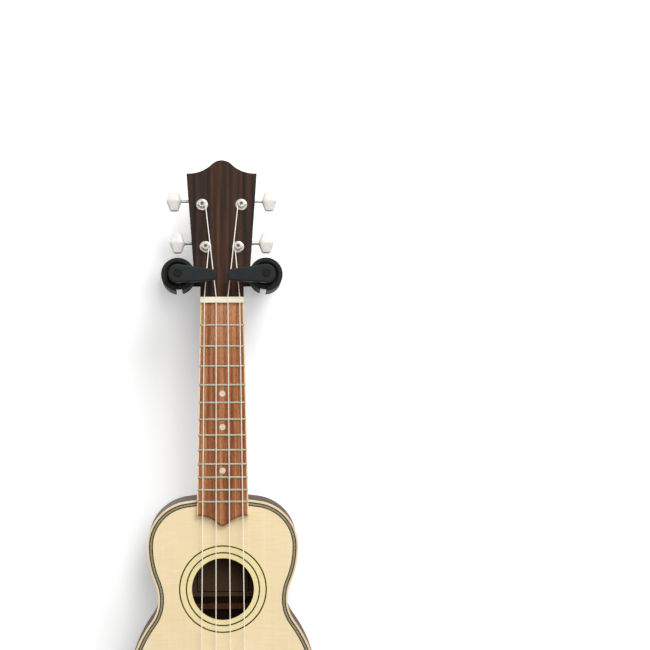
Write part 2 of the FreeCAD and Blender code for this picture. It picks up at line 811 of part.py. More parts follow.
def make_tuners():
    half_w, half_l = size.tuner_plate_width / 2, size.tuner_plate_length / 2
    gear, worm = gear_wheel(), worm_thread()
    bushes, plates, screws = [], [], []
    for number, post in enumerate(posts, start=1):
        side = math.copysign(1, post.x)
        bush = disc(post, size.ferrule_diameter / 2, 0, size.ferrule_thickness)
        bush = bush.fuse(disc(post, size.ferrule_sleeve_radius - size.fit_gap / 2,
                              -size.ferrule_sleeve_depth + 0.2, 0.5))
        bush = bush.cut(disc(post, size.post_radius + size.running_gap, -FAR, FAR)).removeSplitter()
        bushes.append(bush)
        centre = post + at(0, worm_rise / 2)
        plate = block((centre.x - half_w, centre.x + half_w), (centre.y - half_l, centre.y + half_l),
                      (plate_low, head_back))
        axis = post + at(0, worm_rise, worm_level)
        ear_x = [post.x + s * ear_place for s in (-1, 1)]
        ears = [block((x - size.ear_thickness / 2, x + size.ear_thickness / 2),
                      (axis.y - size.ear_height / 2, axis.y + size.ear_height / 2),
                      (worm_level - size.ear_drop, plate_low)) for x in ear_x]
        plate = fused([plate] + ears)
        shaft_hole = Part.makeCylinder(size.worm_shaft_radius + size.running_gap, 2 * FAR,
                                       axis - RIGHT * FAR, RIGHT)
        screw_spots = [at(centre.x, centre.y + s * (half_l - size.plate_screw_inset)) for s in (-1, 1)]
        plate = plate.cut(shaft_hole).cut(disc(post, size.post_radius + size.running_gap, -FAR, FAR))
        for spot in screw_spots:
            plate = plate.cut(disc(spot, size.plate_screw_radius + size.fit_gap, -FAR, FAR))
            head = disc(spot, size.plate_screw_head_radius, plate_low - size.plate_screw_head, plate_low)
            shank = disc(spot, size.plate_screw_radius, plate_low - size.plate_screw_head / 2, head_back)
            screws.append(head.fuse(shank).removeSplitter())
        plates.append(plate)
        make_post(number, post, gear)
        make_worm(number, axis, side, worm)
        make_button(number, axis, side)
    piece("tuner_ferrules", group(bushes), HEAD)
    piece("tuner_plates", group(plates), HEAD)
    piece("tuner_screws", group(screws), HEAD)


def make_post(number, post, gear):
    """The string post with the wheel on its foot and the screw that holds the wheel."""
    high, edge = size.post_proud, size.post_edge
    waist_low, waist_high = size.ferrule_thickness + edge, high - size.post_head
    radius, waist, seat = size.post_radius, size.post_waist_radius, size.post_foot_radius
    foot, step = gear_low, gear_high + size.fit_gap
    profile = [at(0, foot), at(seat, foot), at(seat, step), at(radius, step), at(radius, waist_low),
               at(waist, waist_low + edge), at(waist, waist_high - edge), at(radius, waist_high),
               at(radius, high - edge), at(radius - edge, high), at(0, high)]
    face = face_of([line(a, b) for a, b in zip(profile, profile[1:] + profile[:1])])
    turned = face.revolve(ORIGIN, UP, 360)
    turned.rotate(ORIGIN, RIGHT, 90)
    dimple = disc(ORIGIN, size.post_dimple_radius, high - size.post_dimple_depth, high + 1)
    cross_hole = Part.makeCylinder(size.string_hole_radius, 2 * FAR,
                                   at(-FAR, 0, (waist_low + waist_high) / 2), RIGHT)
    turned = turned.cut(dimple).cut(cross_hole)
    wheel = gear.cut(disc(ORIGIN, seat, -FAR, FAR))
    screw = disc(ORIGIN, size.wheel_screw_radius, foot - size.wheel_screw_head, foot)
    slot = block((-size.screw_slot_width / 2, size.screw_slot_width / 2), (-FAR, FAR),
                 (-FAR, foot - size.wheel_screw_head + size.screw_slot_depth))
    solids = group([turned, wheel, screw.cut(slot)])
    solids.translate(post)
    piece("string_post_%d" % number, solids, HEAD)


def make_worm(number, axis, side, worm):
    thread = placed(worm, Placement(axis, WORM_TURN))
    inner = axis - RIGHT * side * (ear_place + size.ear_thickness)
    outer = axis + RIGHT * side * (size.button_reach + size.button_length * 0.6)
    shaft = Part.makeCylinder(size.worm_shaft_radius, (outer - inner).Length, inner, outer - inner)
    collar_start = axis + RIGHT * side * (ear_place + size.ear_thickness / 2 + size.collar_gap)
    collar = Part.makeCylinder(size.worm_shaft_radius * 1.5, size.collar_length, collar_start, RIGHT * side)
    piece("worm_%d" % number, fused([shaft, thread, collar]), HEAD)


def make_button(number, axis, side):
    """A pearl button: a tall six-sided lozenge with round corners, thickest along the shaft's line."""
    start, length = size.button_reach, size.button_length
    middle, high, end = start + length / 2, size.button_height / 2, size.button_end_width / 2
    corners = [at(start, 0), at(middle - end, high), at(middle + end, high),
               at(start + length, 0), at(middle + end, -high), at(middle - end, -high)]
    thick, thin = size.button_thickness / 2, size.button_end_thickness / 2
    shape = polygon(corners, -thick, thick)
    upright = [edge for edge in shape.Edges if edge.BoundBox.ZLength > thick]
    shape = shape.makeFillet(size.button_corner, upright)
    ridge = [Vector(start - 1, y, out) for y, out in ((0, thick), (high, thin), (high, -thin), (0, -thick),
                                                      (-high, -thin), (-high, thin))]
    wedge = Part.Face(Part.makePolygon(ridge + ridge[:1])).extrude(RIGHT * (length + 2))
    shape = shape.common(wedge)
    root = Part.makeCylinder(size.button_root, size.button_root_length + length / 2,
                             at(start - size.button_root_length, 0), RIGHT)
    bore = Part.makeCylinder(size.worm_shaft_radius, length * 0.6 + size.button_root_length,
                             at(start - size.button_root_length, 0), RIGHT)
    shape = shape.fuse(root).cut(bore)
    if side < 0:
        shape = shape.mirror(ORIGIN, RIGHT)
    shape.translate(axis)
    piece("button_%d" % number, shape, HEAD)


make_fretboard()
make_nut_and_strings()
make_neck()
make_body()
make_inner_frame()
make_bridge()
make_tuners()


# ---------------------------------------------------------------- hanger, from primitives bound to the sheet
def bind(obj, **expressions):
    """Tie an object's sizes to the sheet; x, y and z tie its place in the row's own frame."""
    for name, expression in expressions.items():
        path = {"x": "Placement.Base.x", "y": "Placement.Base.y", "z": "Placement.Base.z"}.get(name, name)
        obj.setExpression(path, expression)
    return obj


def bar(name, x, wide, out, deep, z, high):
    """A box from named sizes: its left side, its back and its underside, and how far it reaches."""
    return bind(doc.addObject("Part::Box", name), Length=wide, Width=deep, Height=high,
                x=x, y="-(%s) - (%s)" % (out, deep), z=z)


def rod(name, radius, length, x, out, z, rotation=UPRIGHT):
    """A round bar that runs towards the front, or along the axis that the rotation gives."""
    obj = doc.addObject("Part::Cylinder", name)
    obj.Placement.Rotation = rotation
    return bind(obj, Radius=radius, Height=length, x=x, y="-(%s)" % out, z=z)


def joined(name, shapes):
    obj = doc.addObject("Part::MultiFuse", name)
    obj.Shapes = shapes
    obj.Refine = True
    return obj


def cut_from(name, base, tools):
    obj = doc.addObject("Part::Cut", name)
    obj.Base = base
    obj.Tool = tools[0] if len(tools) == 1 else joined(name + "_tools", tools)
    obj.Refine = True
    return obj


def gathered(name, shapes):
    obj = doc.addObject("Part::Compound", name)
    obj.Links = shapes
    return obj


# the arms' axes: parallel, rising towards the front, and placed so that the head's cheeks rest on the rings
tilt = math.radians(size.arm_tilt)
cheek_corner = flare_corner_centre()
cheek_seen = head_point(cheek_corner.x, cheek_corner.y, head_back / 2)
axis_at_seat = size.ring_height - (size.ring_out - cheek_seen.z) * math.tan(tilt)
seat_reach = size.ring_radius + size.flare_corner + size.seat_gap
arm_side = cheek_corner.x + math.sqrt(seat_reach ** 2 - (cheek_seen.y - axis_at_seat) ** 2)
axis_front = at(0, size.nut_height + size.ring_height, size.ring_out)


def arm_place(side):
    """A frame on an arm's axis: +Z runs forward along it from the ring's front face."""
    return WALL * Placement(axis_front + RIGHT * side * arm_side, Rotation(RIGHT, -size.arm_tilt))


def along_arm(out):
    """How far along the arm's axis a distance from the wall is."""
    return (out - size.ring_out) / math.cos(tilt)


def axis_height(out):
    return axis_front.y + (out - size.ring_out) * math.tan(tilt)


carrier_front = size.carrier_back + size.carrier_depth
root_height = axis_height(carrier_front)
crank_front = size.crank_back + size.crank_thickness
crank_rise = size.crank_length * math.sin(math.radians(size.crank_angle))
pin_height = axis_height(size.crank_back) + crank_rise
cam_back = size.wall_plate_thickness + size.frame_thickness
cam_middle = cam_back + size.cam_thickness / 2
slot_height = pin_height - (size.crank_back - cam_middle) * math.tan(tilt)
for alias, value in (("arm_side", arm_side), ("root_height", root_height), ("slot_height", slot_height)):
    add_row(alias, value)
sheet.recompute()

CARRIER_LOW = "(Sizes.root_height - Sizes.carrier_below)"
CARRIER_HIGH = "(Sizes.root_height + Sizes.carrier_above)"
LOW_LUG_TOP = "(%s - Sizes.spring_length)" % CARRIER_LOW
HIGH_LUG_LOW = "(%s + Sizes.yoke_travel + Sizes.lug_gap)" % CARRIER_HIGH
FRAME_LOW = "(%s - Sizes.lug_thickness)" % LOW_LUG_TOP
FRAME_HIGH = "(%s + Sizes.lug_thickness)" % HIGH_LUG_LOW
LUG_REACH = "(Sizes.rod_out + Sizes.rod_radius + Sizes.lug_margin - Sizes.wall_plate_thickness)"
FRAME_LENGTH = "(%s - %s)" % (FRAME_HIGH, FRAME_LOW)
PLATE_FRONT = "Sizes.wall_plate_thickness"
FRAME_FRONT = PLATE_FRONT + " + Sizes.frame_thickness"
SCREW_HOLE = "Sizes.screw_radius + Sizes.fit_gap"
ALONG_Z = Rotation()
ROD_PLACES = (("left", "-Sizes.rod_spacing / 2"), ("right", "Sizes.rod_spacing / 2"))


def make_wall_plate():
    """A plate with round ends and two screw holes, made as one padded sketch with eased front edges."""
    body = doc.addObject("PartDesign::Body", "WallPlate")
    plane = [feature for feature in body.Origin.OriginFeatures if feature.Role == "XZ_Plane"][0]
    sketch = body.newObject("Sketcher::SketchObject", "WallPlateSketch")
    sketch.AttachmentSupport = [(plane, "")]
    sketch.MapMode = "FlatFace"
    half, reach = size.wall_plate_width / 2, size.wall_plate_length / 2 - size.wall_plate_width / 2
    add = sketch.addGeometry
    ends = [add(Part.ArcOfCircle(Part.Circle(at(0, reach), OUT, half), 0, math.pi)),
            add(Part.ArcOfCircle(Part.Circle(at(0, -reach), OUT, half), math.pi, 2 * math.pi))]
    sides = [add(Part.LineSegment(at(-half, reach), at(-half, -reach))),
             add(Part.LineSegment(at(half, -reach), at(half, reach)))]
    holes = [add(Part.Circle(at(0, s * size.wall_screw_spacing / 2), OUT, size.wall_screw_hole / 2))
             for s in (1, -1)]
    rule = Sketcher.Constraint
    for pair in ((ends[0], 2, sides[0], 1), (sides[0], 2, ends[1], 1), (ends[1], 2, sides[1], 1),
                 (sides[1], 2, ends[0], 1)):
        sketch.addConstraint(rule("Tangent", *pair))
    sketch.addConstraint(rule("PointOnObject", ends[0], 3, -2))
    sketch.addConstraint(rule("Symmetric", ends[0], 3, ends[1], 3, -1, 1))
    sketch.addConstraint(rule("Equal", ends[0], ends[1]))
    sketch.addConstraint(rule("Radius", ends[0], half))
    sketch.setExpression("Constraints[%d]" % (sketch.ConstraintCount - 1), "Sizes.wall_plate_width / 2")
    sketch.addConstraint(rule("DistanceY", ends[1], 3, ends[0], 3, 2 * reach))
    sketch.setExpression("Constraints[%d]" % (sketch.ConstraintCount - 1),
                         "Sizes.wall_plate_length - Sizes.wall_plate_width")
    sketch.addConstraint(rule("PointOnObject", holes[0], 3, -2))
    sketch.addConstraint(rule("Symmetric", holes[0], 3, holes[1], 3, -1, 1))
    sketch.addConstraint(rule("DistanceY", holes[1], 3, holes[0], 3, size.wall_screw_spacing))
    sketch.setExpression("Constraints[%d]" % (sketch.ConstraintCount - 1), "Sizes.wall_screw_spacing")
    sketch.addConstraint(rule("Equal", holes[0], holes[1]))
    sketch.addConstraint(rule("Radius", holes[0], size.wall_screw_hole / 2))
    sketch.setExpression("Constraints[%d]" % (sketch.ConstraintCount - 1), "Sizes.wall_screw_hole / 2")
    pad = body.newObject("PartDesign::Pad", "WallPlatePad")
    pad.Profile = sketch
    pad.setExpression("Length", "Sizes.wall_plate_thickness")
    doc.recompute()
    if pad.Shape.BoundBox.YMax > 0.01:
        pad.Reversed = True
        doc.recompute()
    outside = half + size.wall_screw_hole / 2
    rim = ["Edge%d" % number for number, edge in enumerate(pad.Shape.Edges, start=1)
           if edge.BoundBox.YMax < 0.01 - size.wall_plate_thickness
           and max(edge.BoundBox.XLength, edge.BoundBox.ZLength) > outside]
    ease = body.newObject("PartDesign::Chamfer", "WallPlateEdge")
    ease.Base = (pad, rim)
    ease.setExpression("Size", "Sizes.wall_plate_edge")
    body.Tip = ease
    screws = [rod("PlateScrewHole_" + side, SCREW_HOLE, PLATE_FRONT + " + 2", "0", "-1", height)
              for side, height in FRAME_SCREWS]
    keep(cut_from("WallPlateCut", body, screws), "wall_plate")


SCREW_INSET = "(Sizes.lug_thickness + Sizes.screw_head_radius + Sizes.lug_gap)"
FRAME_SCREWS = (("low", "%s + %s" % (FRAME_LOW, SCREW_INSET)),
                ("high", "%s - %s" % (FRAME_HIGH, SCREW_INSET)))


def make_guide_frame():
    """A back strip with two lugs, which hold the guide rods, and the screws that fix it to the plate."""
    wide = "Sizes.rod_spacing + 2 * (Sizes.rod_radius + Sizes.lug_margin)"
    left = "-(%s) / 2" % wide
    strip = bar("FrameStrip", left, wide, PLATE_FRONT, "Sizes.frame_thickness", FRAME_LOW, FRAME_LENGTH)
    low = bar("FrameLowLug", left, wide, PLATE_FRONT, LUG_REACH, FRAME_LOW, "Sizes.lug_thickness")
    high = bar("FrameHighLug", left, wide, PLATE_FRONT, LUG_REACH, HIGH_LUG_LOW, "Sizes.lug_thickness")
    bores = [rod("FrameBore_" + side, "Sizes.rod_radius + Sizes.fit_gap / 2", FRAME_LENGTH + " + 2",
                 place, "Sizes.rod_out", FRAME_LOW + " - 1", ALONG_Z) for side, place in ROD_PLACES]
    holes = [rod("FrameScrewHole_" + side, SCREW_HOLE, "Sizes.frame_thickness + 2", "0",
                 PLATE_FRONT + " - 1", height) for side, height in FRAME_SCREWS]
    keep(cut_from("FrameCut", joined("FrameBlank", [strip, low, high]), bores + holes), "guide_frame")
    rods = [rod("GuideRod_" + side, "Sizes.rod_radius", FRAME_LENGTH, place, "Sizes.rod_out", FRAME_LOW,
                ALONG_Z) for side, place in ROD_PLACES]
    keep(gathered("GuideRods", rods), "guide_rods")
    screws = []
    for side, height in FRAME_SCREWS:
        shank = rod("FrameScrewShank_" + side, "Sizes.screw_radius",
                    "Sizes.frame_thickness + Sizes.screw_sink", "0",
                    PLATE_FRONT + " - Sizes.screw_sink", height)
        head = rod("FrameScrewHead_" + side, "Sizes.screw_head_radius", "Sizes.screw_head_height", "0",
                   FRAME_FRONT, height)
        socket = rod("FrameScrewSocket_" + side, "Sizes.screw_socket_radius", "Sizes.screw_head_height", "0",
                     FRAME_FRONT + " + Sizes.screw_head_height - Sizes.screw_socket_depth", height)
        blank = joined("FrameScrewBlank_" + side, [shank, head])
        screws.append(cut_from("FrameScrew_" + side, blank, [socket]))
    keep(gathered("FrameScrews", screws), "frame_screws")


def make_springs():
    """Two coils that push the carrier up when nothing hangs from it."""
    height = size.spring_length - size.spring_wire
    pitch = height / size.spring_turns
    coils = []
    for side in (-1, 1):
        path = Part.Wire(Part.makeHelix(pitch, height, size.spring_radius))
        corners = [Vector(size.spring_radius + size.spring_wire / 2 * math.cos(turn), 0,
                          size.spring_wire / 2 * math.sin(turn))
                   for turn in (math.radians(45 * step) for step in range(8))]
        coil = path.makePipeShell([Part.makePolygon(corners + corners[:1])], True, True)
        low = root_height - size.carrier_below - size.spring_length + size.spring_wire / 2
        coil.translate(Vector(side * size.rod_spacing / 2, -size.rod_out, low))
        coils.append(coil)
    piece("return_springs", group(coils), Placement())


def make_cam_plate():
    """A cross bar with a level slot at each end, which turns the cranks as the carrier rises."""
    slot_end = size.crank_pin_radius + size.cam_slot_gap
    near = arm_side + size.crank_length * math.cos(math.radians(size.crank_angle)) - slot_end
    far = arm_side + size.crank_length + slot_end
    half_slot = size.crank_pin_radius + size.cam_slot_room
    half_high, half_wide = half_slot + size.cam_margin, far + size.cam_margin
    plate = block((-half_wide, half_wide), (slot_height - half_high, slot_height + half_high),
                  (cam_back, cam_back + size.cam_thickness))
    slots = [block((min(s * near, s * far), max(s * near, s * far)),
                   (slot_height - half_slot, slot_height + half_slot), (0, FAR)) for s in (-1, 1)]
    rims = [edge for edge in plate.Edges if abs(edge.BoundBox.ZLength - size.cam_thickness) < 0.01]
    piece("cam_plate", plate.makeFillet(size.cam_margin, rims).cut(group(slots)), WALL)


def make_carrier():
    """The sliding block: bored for the guide rods and for the two arms."""
    half = arm_side + size.carrier_end
    carrier = block((-half, half), (root_height - size.carrier_below, root_height + size.carrier_above),
                    (size.carrier_back, carrier_front))
    # the block is lower over the arms than in its middle
    middle = size.rod_spacing / 2 + size.rod_radius + size.carrier_hump_margin
    step = root_height + size.tube_radius + size.carrier_cover
    for s in (-1, 1):
        beside = sorted((s * middle, s * FAR))
        carrier = carrier.cut(block(beside, (step, FAR), (0, FAR)))
    rims = [edge for edge in carrier.Edges if abs(edge.BoundBox.ZLength - size.carrier_depth) < 0.01]
    carrier = carrier.makeFillet(size.carrier_corner, rims)
    bore = Part.makeCylinder(size.tube_radius + size.fit_gap, 2 * FAR, at(0, 0, -FAR), OUT)
    for _, s in SIDES:
        carrier = carrier.cut(placed(bore, WALL.inverse() * arm_place(s)))
    for s in (-1, 1):
        guide = Part.makeCylinder(size.rod_radius + size.slide_gap, 2 * FAR,
                                  at(s * size.rod_spacing / 2, -FAR, size.rod_out), UP)
        carrier = carrier.cut(guide)
    piece("yoke_carrier", carrier, WALL)


def hollow_bar(outer, inner, low, high):
    return disc(ORIGIN, outer, low, high).cut(disc(ORIGIN, inner, low - 1, high + 1))


def make_arms():
    """Steel tubes, soft sleeves and, on each sleeve, a split ring that narrows the gap between the arms."""
    tubes, sleeves = [], []
    bore = size.shaft_radius + size.running_gap
    root = along_arm(size.carrier_back + size.tube_inset)
    root_front = along_arm(carrier_front + size.sleeve_start)
    for (name, s), slot_turn in zip(SIDES, (size.ring_slot_turn_left, size.ring_slot_turn_right)):
        tube_shape = hollow_bar(size.tube_radius, bore, root, size.gate_gap - size.tube_gate_gap)
        sleeve = hollow_bar(size.ring_bore - size.fit_gap, size.tube_radius + size.fit_gap, root_front,
                            -size.sleeve_recess)
        tubes.append(placed(tube_shape, arm_place(s)))
        sleeves.append(placed(sleeve, arm_place(s)))
        ring = hollow_bar(size.ring_radius, size.ring_bore, -size.ring_depth, 0)
        slot = block((-size.ring_slot / 2, size.ring_slot / 2), (-FAR, 0), (-FAR, FAR))
        slot.rotate(ORIGIN, OUT, -s * slot_turn)
        ring = ring.cut(disc(ORIGIN, size.ring_mouth, -size.ring_mouth_depth, 1)).cut(slot)
        rims = [edge for edge in ring.Edges
                if edge.BoundBox.ZLength < 0.01 and isinstance(edge.Curve, Part.Circle)
                and edge.Curve.Radius > (size.ring_bore + size.ring_radius) / 2]
        piece("adapter_ring_" + name, ring.makeFillet(size.ring_edge, rims), arm_place(s))
    piece("arm_tubes", group(tubes), Placement())
    piece("foam_sleeves", group(sleeves), Placement())


def make_gates():
    """On each arm: a shaft through the tube, a crank on its back end and a gate on its front end."""
    gate_back = size.gate_gap
    gate_front = gate_back + size.gate_thickness
    crank_low, crank_high = along_arm(size.crank_back), along_arm(crank_front)
    bore = size.shaft_radius + size.fit_gap / 2
    pin_low = along_arm(cam_back - 1)
    for name, s in SIDES:
        shaft = disc(ORIGIN, size.shaft_radius, crank_low, gate_front - size.gate_cap_thickness)
        piece("gate_shaft_" + name, shaft, arm_place(s))
        # the crank points outward and up, and the gate points inward
        crank_angle = 90 - s * (90 - size.crank_angle)
        pin_centre = polar(ORIGIN, size.crank_length, crank_angle)
        eye, web_half = size.shaft_radius + size.crank_eye_wall, size.crank_web_radius
        sides = [polar(ORIGIN, web_half, crank_angle + turn) for turn in (-90, 90)]
        corners = [sides[0], pin_centre + sides[0], pin_centre + sides[1], sides[1]]
        web = polygon(corners, crank_low, crank_high)
        crank = fused([disc(ORIGIN, eye, crank_low, crank_high), web,
                       disc(pin_centre, web_half, crank_low, crank_high),
                       disc(pin_centre, size.crank_pin_radius, pin_low, (crank_low + crank_high) / 2)])
        piece("crank_" + name, crank.cut(disc(ORIGIN, bore, -FAR, FAR)), arm_place(s))
        inward = -s
        tip = at(inward * (size.gate_reach - size.gate_tip_radius), -size.gate_tip_lift)
        gate = gate_shape(tip, gate_back, gate_front)
        cap_back = gate_front - size.gate_cap_thickness
        seat = disc(ORIGIN, size.gate_cap_radius + size.gate_cap_groove, cap_back, gate_front + 1)
        gate = gate.cut(disc(ORIGIN, bore, -FAR, FAR)).cut(seat)
        piece("gate_" + name, gate, arm_place(s))
        cap = disc(ORIGIN, size.gate_cap_radius, cap_back, gate_front + size.gate_cap_proud)
        piece("gate_cap_" + name, cap, arm_place(s))


def gate_shape(tip, low, high):
    """A paddle: a large round end on the pivot, straight edges and a smaller round end."""
    reach = tip.Length
    lean = math.degrees(math.atan2(tip.y, tip.x))
    open_angle = math.degrees(math.acos((size.gate_pivot_radius - size.gate_tip_radius) / reach))
    ups, downs = [[polar(ORIGIN, size.gate_pivot_radius, lean + angle),
                   tip + polar(ORIGIN, size.gate_tip_radius, lean + angle)]
                  for angle in (open_angle, -open_angle)]
    heel = polar(ORIGIN, size.gate_pivot_radius, lean + 180)
    toe = tip + polar(ORIGIN, size.gate_tip_radius, lean)
    edges = [Part.Arc(downs[0], heel, ups[0]).toShape(), line(ups[0], ups[1]),
             Part.Arc(ups[1], toe, downs[1]).toShape(), line(downs[1], downs[0])]
    paddle = slab(edges, low, high)
    rims = [edge for edge in paddle.Edges if edge.BoundBox.ZMin > high - 0.01]
    return paddle.makeChamfer(size.gate_bevel, rims)


make_wall_plate()
make_guide_frame()
make_springs()
make_cam_plate()
make_carrier()
make_arms()
make_gates()

# ---------------------------------------------------------------- checks and export
doc.recompute()
for obj in doc.Objects:
    if "Invalid" in obj.State or "Error" in obj.State:
        raise RuntimeError("%s failed: %s" % (obj.Label, obj.State))
for obj in nodes:
    if obj.Shape.isNull() or not obj.Shape.isValid() or not obj.Shape.Solids:
        raise RuntimeError("%s has no sound solid" % obj.Label)

os.makedirs("parts", exist_ok=True)
for obj in nodes:
    obj.Shape.exportStep("parts/%s.step" % obj.Label)
print("%d nodes, %d solids" % (len(nodes), sum(len(obj.Shape.Solids) for obj in nodes)))
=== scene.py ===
"""Looks of a soprano ukulele that hangs by its head in a wall hanger with turning gates.

Metres, +Z up, the front faces -Y, the wall is the plane y = 0.  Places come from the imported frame.
"""
import json
import math

import bmesh
import bpy
from mathutils import Matrix, Quaternion, Vector


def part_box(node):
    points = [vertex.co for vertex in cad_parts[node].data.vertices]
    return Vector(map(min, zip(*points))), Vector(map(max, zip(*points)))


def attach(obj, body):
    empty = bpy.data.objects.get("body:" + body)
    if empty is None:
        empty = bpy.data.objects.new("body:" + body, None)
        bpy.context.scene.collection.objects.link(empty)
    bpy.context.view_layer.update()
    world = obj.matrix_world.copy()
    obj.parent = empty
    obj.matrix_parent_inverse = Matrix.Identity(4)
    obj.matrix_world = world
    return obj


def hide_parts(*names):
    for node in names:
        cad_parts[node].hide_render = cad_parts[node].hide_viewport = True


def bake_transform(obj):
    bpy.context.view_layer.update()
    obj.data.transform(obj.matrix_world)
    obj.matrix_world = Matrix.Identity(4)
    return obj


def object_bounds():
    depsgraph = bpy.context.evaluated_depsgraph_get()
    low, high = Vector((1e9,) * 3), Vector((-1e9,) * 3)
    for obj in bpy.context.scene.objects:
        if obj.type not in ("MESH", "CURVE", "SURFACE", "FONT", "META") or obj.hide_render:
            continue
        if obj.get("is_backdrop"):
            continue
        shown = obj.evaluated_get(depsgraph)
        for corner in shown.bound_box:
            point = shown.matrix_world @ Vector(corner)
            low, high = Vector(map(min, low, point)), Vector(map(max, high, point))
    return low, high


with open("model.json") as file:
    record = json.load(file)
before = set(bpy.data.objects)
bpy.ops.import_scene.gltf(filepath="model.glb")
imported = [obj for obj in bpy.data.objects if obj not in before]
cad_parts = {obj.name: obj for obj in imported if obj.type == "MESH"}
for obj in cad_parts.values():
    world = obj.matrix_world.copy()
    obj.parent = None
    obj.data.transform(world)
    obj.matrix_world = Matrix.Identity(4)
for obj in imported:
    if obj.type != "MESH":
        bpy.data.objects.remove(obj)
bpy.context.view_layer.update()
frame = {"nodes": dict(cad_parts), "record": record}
nodes = frame["nodes"]
joints = {joint["name"]: joint for joint in frame["record"]["behaviour"]["joints"]}

MM = 0.001
TAU = 2 * math.pi
RIGHT = Vector((1, 0, 0))
FRONT = Vector((0, -1, 0))
UP = Vector((0, 0, 1))
WHITE = (1.0, 1.0, 1.0, 1.0)
TUNERS = (1, 2, 3, 4)


def joint_place(name):
    """A point on the joint's axis."""
    return Vector(joints[name]["pos_m"])


def joint_axis(name):
    """The joint's axis as a unit vector."""
    return Vector(joints[name]["axis"]).normalized()


def towards_front(axis):
    """The same axis, turned round if it points at the wall."""
    return axis * -math.copysign(1, axis.y)


# ---------------------------------------------------------------- shader toolkit
def paint(red, green, blue):
    """A colour given as it is read off a chart, 0 to 255, turned into light."""
    def light(channel):
        share = channel / 255
        return share / 12.92 if share <= 0.04045 else ((share + 0.055) / 1.055) ** 2.4
    return light(red), light(green), light(blue), 1.0


class Signal:
    """A number, colour or direction that a material works out at each point of a surface."""

    def __init__(self, maker, socket):
        self.maker, self.socket = maker, socket

    def _math(self, operation, *values):
        return self.maker.add("ShaderNodeMath", {"operation": operation}, values)

    def __add__(self, other):
        return self._math("ADD", self, other)

    def __sub__(self, other):
        return self._math("SUBTRACT", self, other)

    def __rsub__(self, other):
        return self._math("SUBTRACT", other, self)

    def __mul__(self, other):
        return self._math("MULTIPLY", self, other)

    def __truediv__(self, other):
        return self._math("DIVIDE", self, other)

    def __lt__(self, other):
        return self._math("LESS_THAN", self, other)

    def __abs__(self):
        return self._math("ABSOLUTE", self)

    def least(self, other):
        return self._math("MINIMUM", self, other)

    def sine(self):
        return self._math("SINE", self)

    def smooth(self, low, high):
        """0 below low, 1 above high, and an even rise between."""
        return self.maker.add("ShaderNodeMapRange", {"interpolation_type": "SMOOTHSTEP"},
                              {"Value": self, "From Min": low, "From Max": high})

    __radd__ = __add__
    __rmul__ = __mul__


class Nodes:
    """The nodes of one material, or of the world's light."""

    def __init__(self, tree):
        self.tree = tree

    def add(self, kind, settings=None, values=(), output=0):
        """A node of a kind, its settings, and the values or links of its sockets."""
        node = self.tree.nodes.new(kind)
        for name, value in (settings or {}).items():
            if name == "stops":
                self.fill_ramp(node.color_ramp, value)
            else:
                setattr(node, name, value)
        for key, value in values.items() if isinstance(values, dict) else enumerate(values):
            self.feed(node.inputs[key], value)
        return Signal(self, node.outputs[output])

    def feed(self, socket, value):
        """Link what varies to a socket, or write a constant on it."""
        if isinstance(value, Signal):
            self.tree.links.new(value.socket, socket)
        else:
            socket.default_value = value

    def fill_ramp(self, ramp, stops):
        while len(ramp.elements) < len(stops):
            ramp.elements.new(1.0)
        for element, (place, colour) in zip(ramp.elements, stops):
            element.position = place
            element.color = colour

    def place(self, scale=(1, 1, 1), shift=(0, 0, 0)):
        """The point on the object, stretched and shifted."""
        point = self.add("ShaderNodeTexCoord", output="Object")
        return self.add("ShaderNodeVectorMath", {"operation": "MULTIPLY_ADD"}, (point, scale, shift))

    def split(self, vector):
        """The three numbers of a point or direction."""
        parts = self.add("ShaderNodeSeparateXYZ", None, (vector,)).socket.node
        return [Signal(self, output) for output in parts.outputs]

    def axes(self):
        """The point's x, y and z as numbers."""
        return self.split(self.add("ShaderNodeTexCoord", output="Object"))

    def noise(self, size, detail=2.0, roughness=0.5, shift=0.0, warp=0.0):
        """Cloudy noise whose lumps are about size metres, one number or three."""
        sizes = size if hasattr(size, "__len__") else (size, size, size)
        point = self.place([1 / s for s in sizes], (shift, shift, shift))
        return self.add("ShaderNodeTexNoise", None,
                        {"Vector": point, "Scale": 1.0, "Detail": detail, "Roughness": roughness,
                         "Distortion": warp})

    def ramp(self, factor, *stops):
        """A colour read off between stops of (place, colour)."""
        return self.add("ShaderNodeValToRGB", {"stops": stops}, (factor,))

    def shade(self, factor, *colours):
        """From the first colour to the last, evenly over the middle of what a noise gives."""
        darkest, lightest = 0.3, 0.7
        pace = (lightest - darkest) / (len(colours) - 1)
        stops = [(darkest + pace * index, colour) for index, colour in enumerate(colours)]
        return self.ramp(factor, *stops)

    def mix(self, factor, first, second, blend="MIX"):
        settings = {"data_type": "RGBA", "blend_type": blend}
        return self.add("ShaderNodeMix", settings, {0: factor, 6: first, 7: second}, output=2)

    def tint(self, colour, red, green, blue):
        """The colour with each of its channels scaled."""
        return self.mix(1.0, colour, (red, green, blue, 1.0), "MULTIPLY")


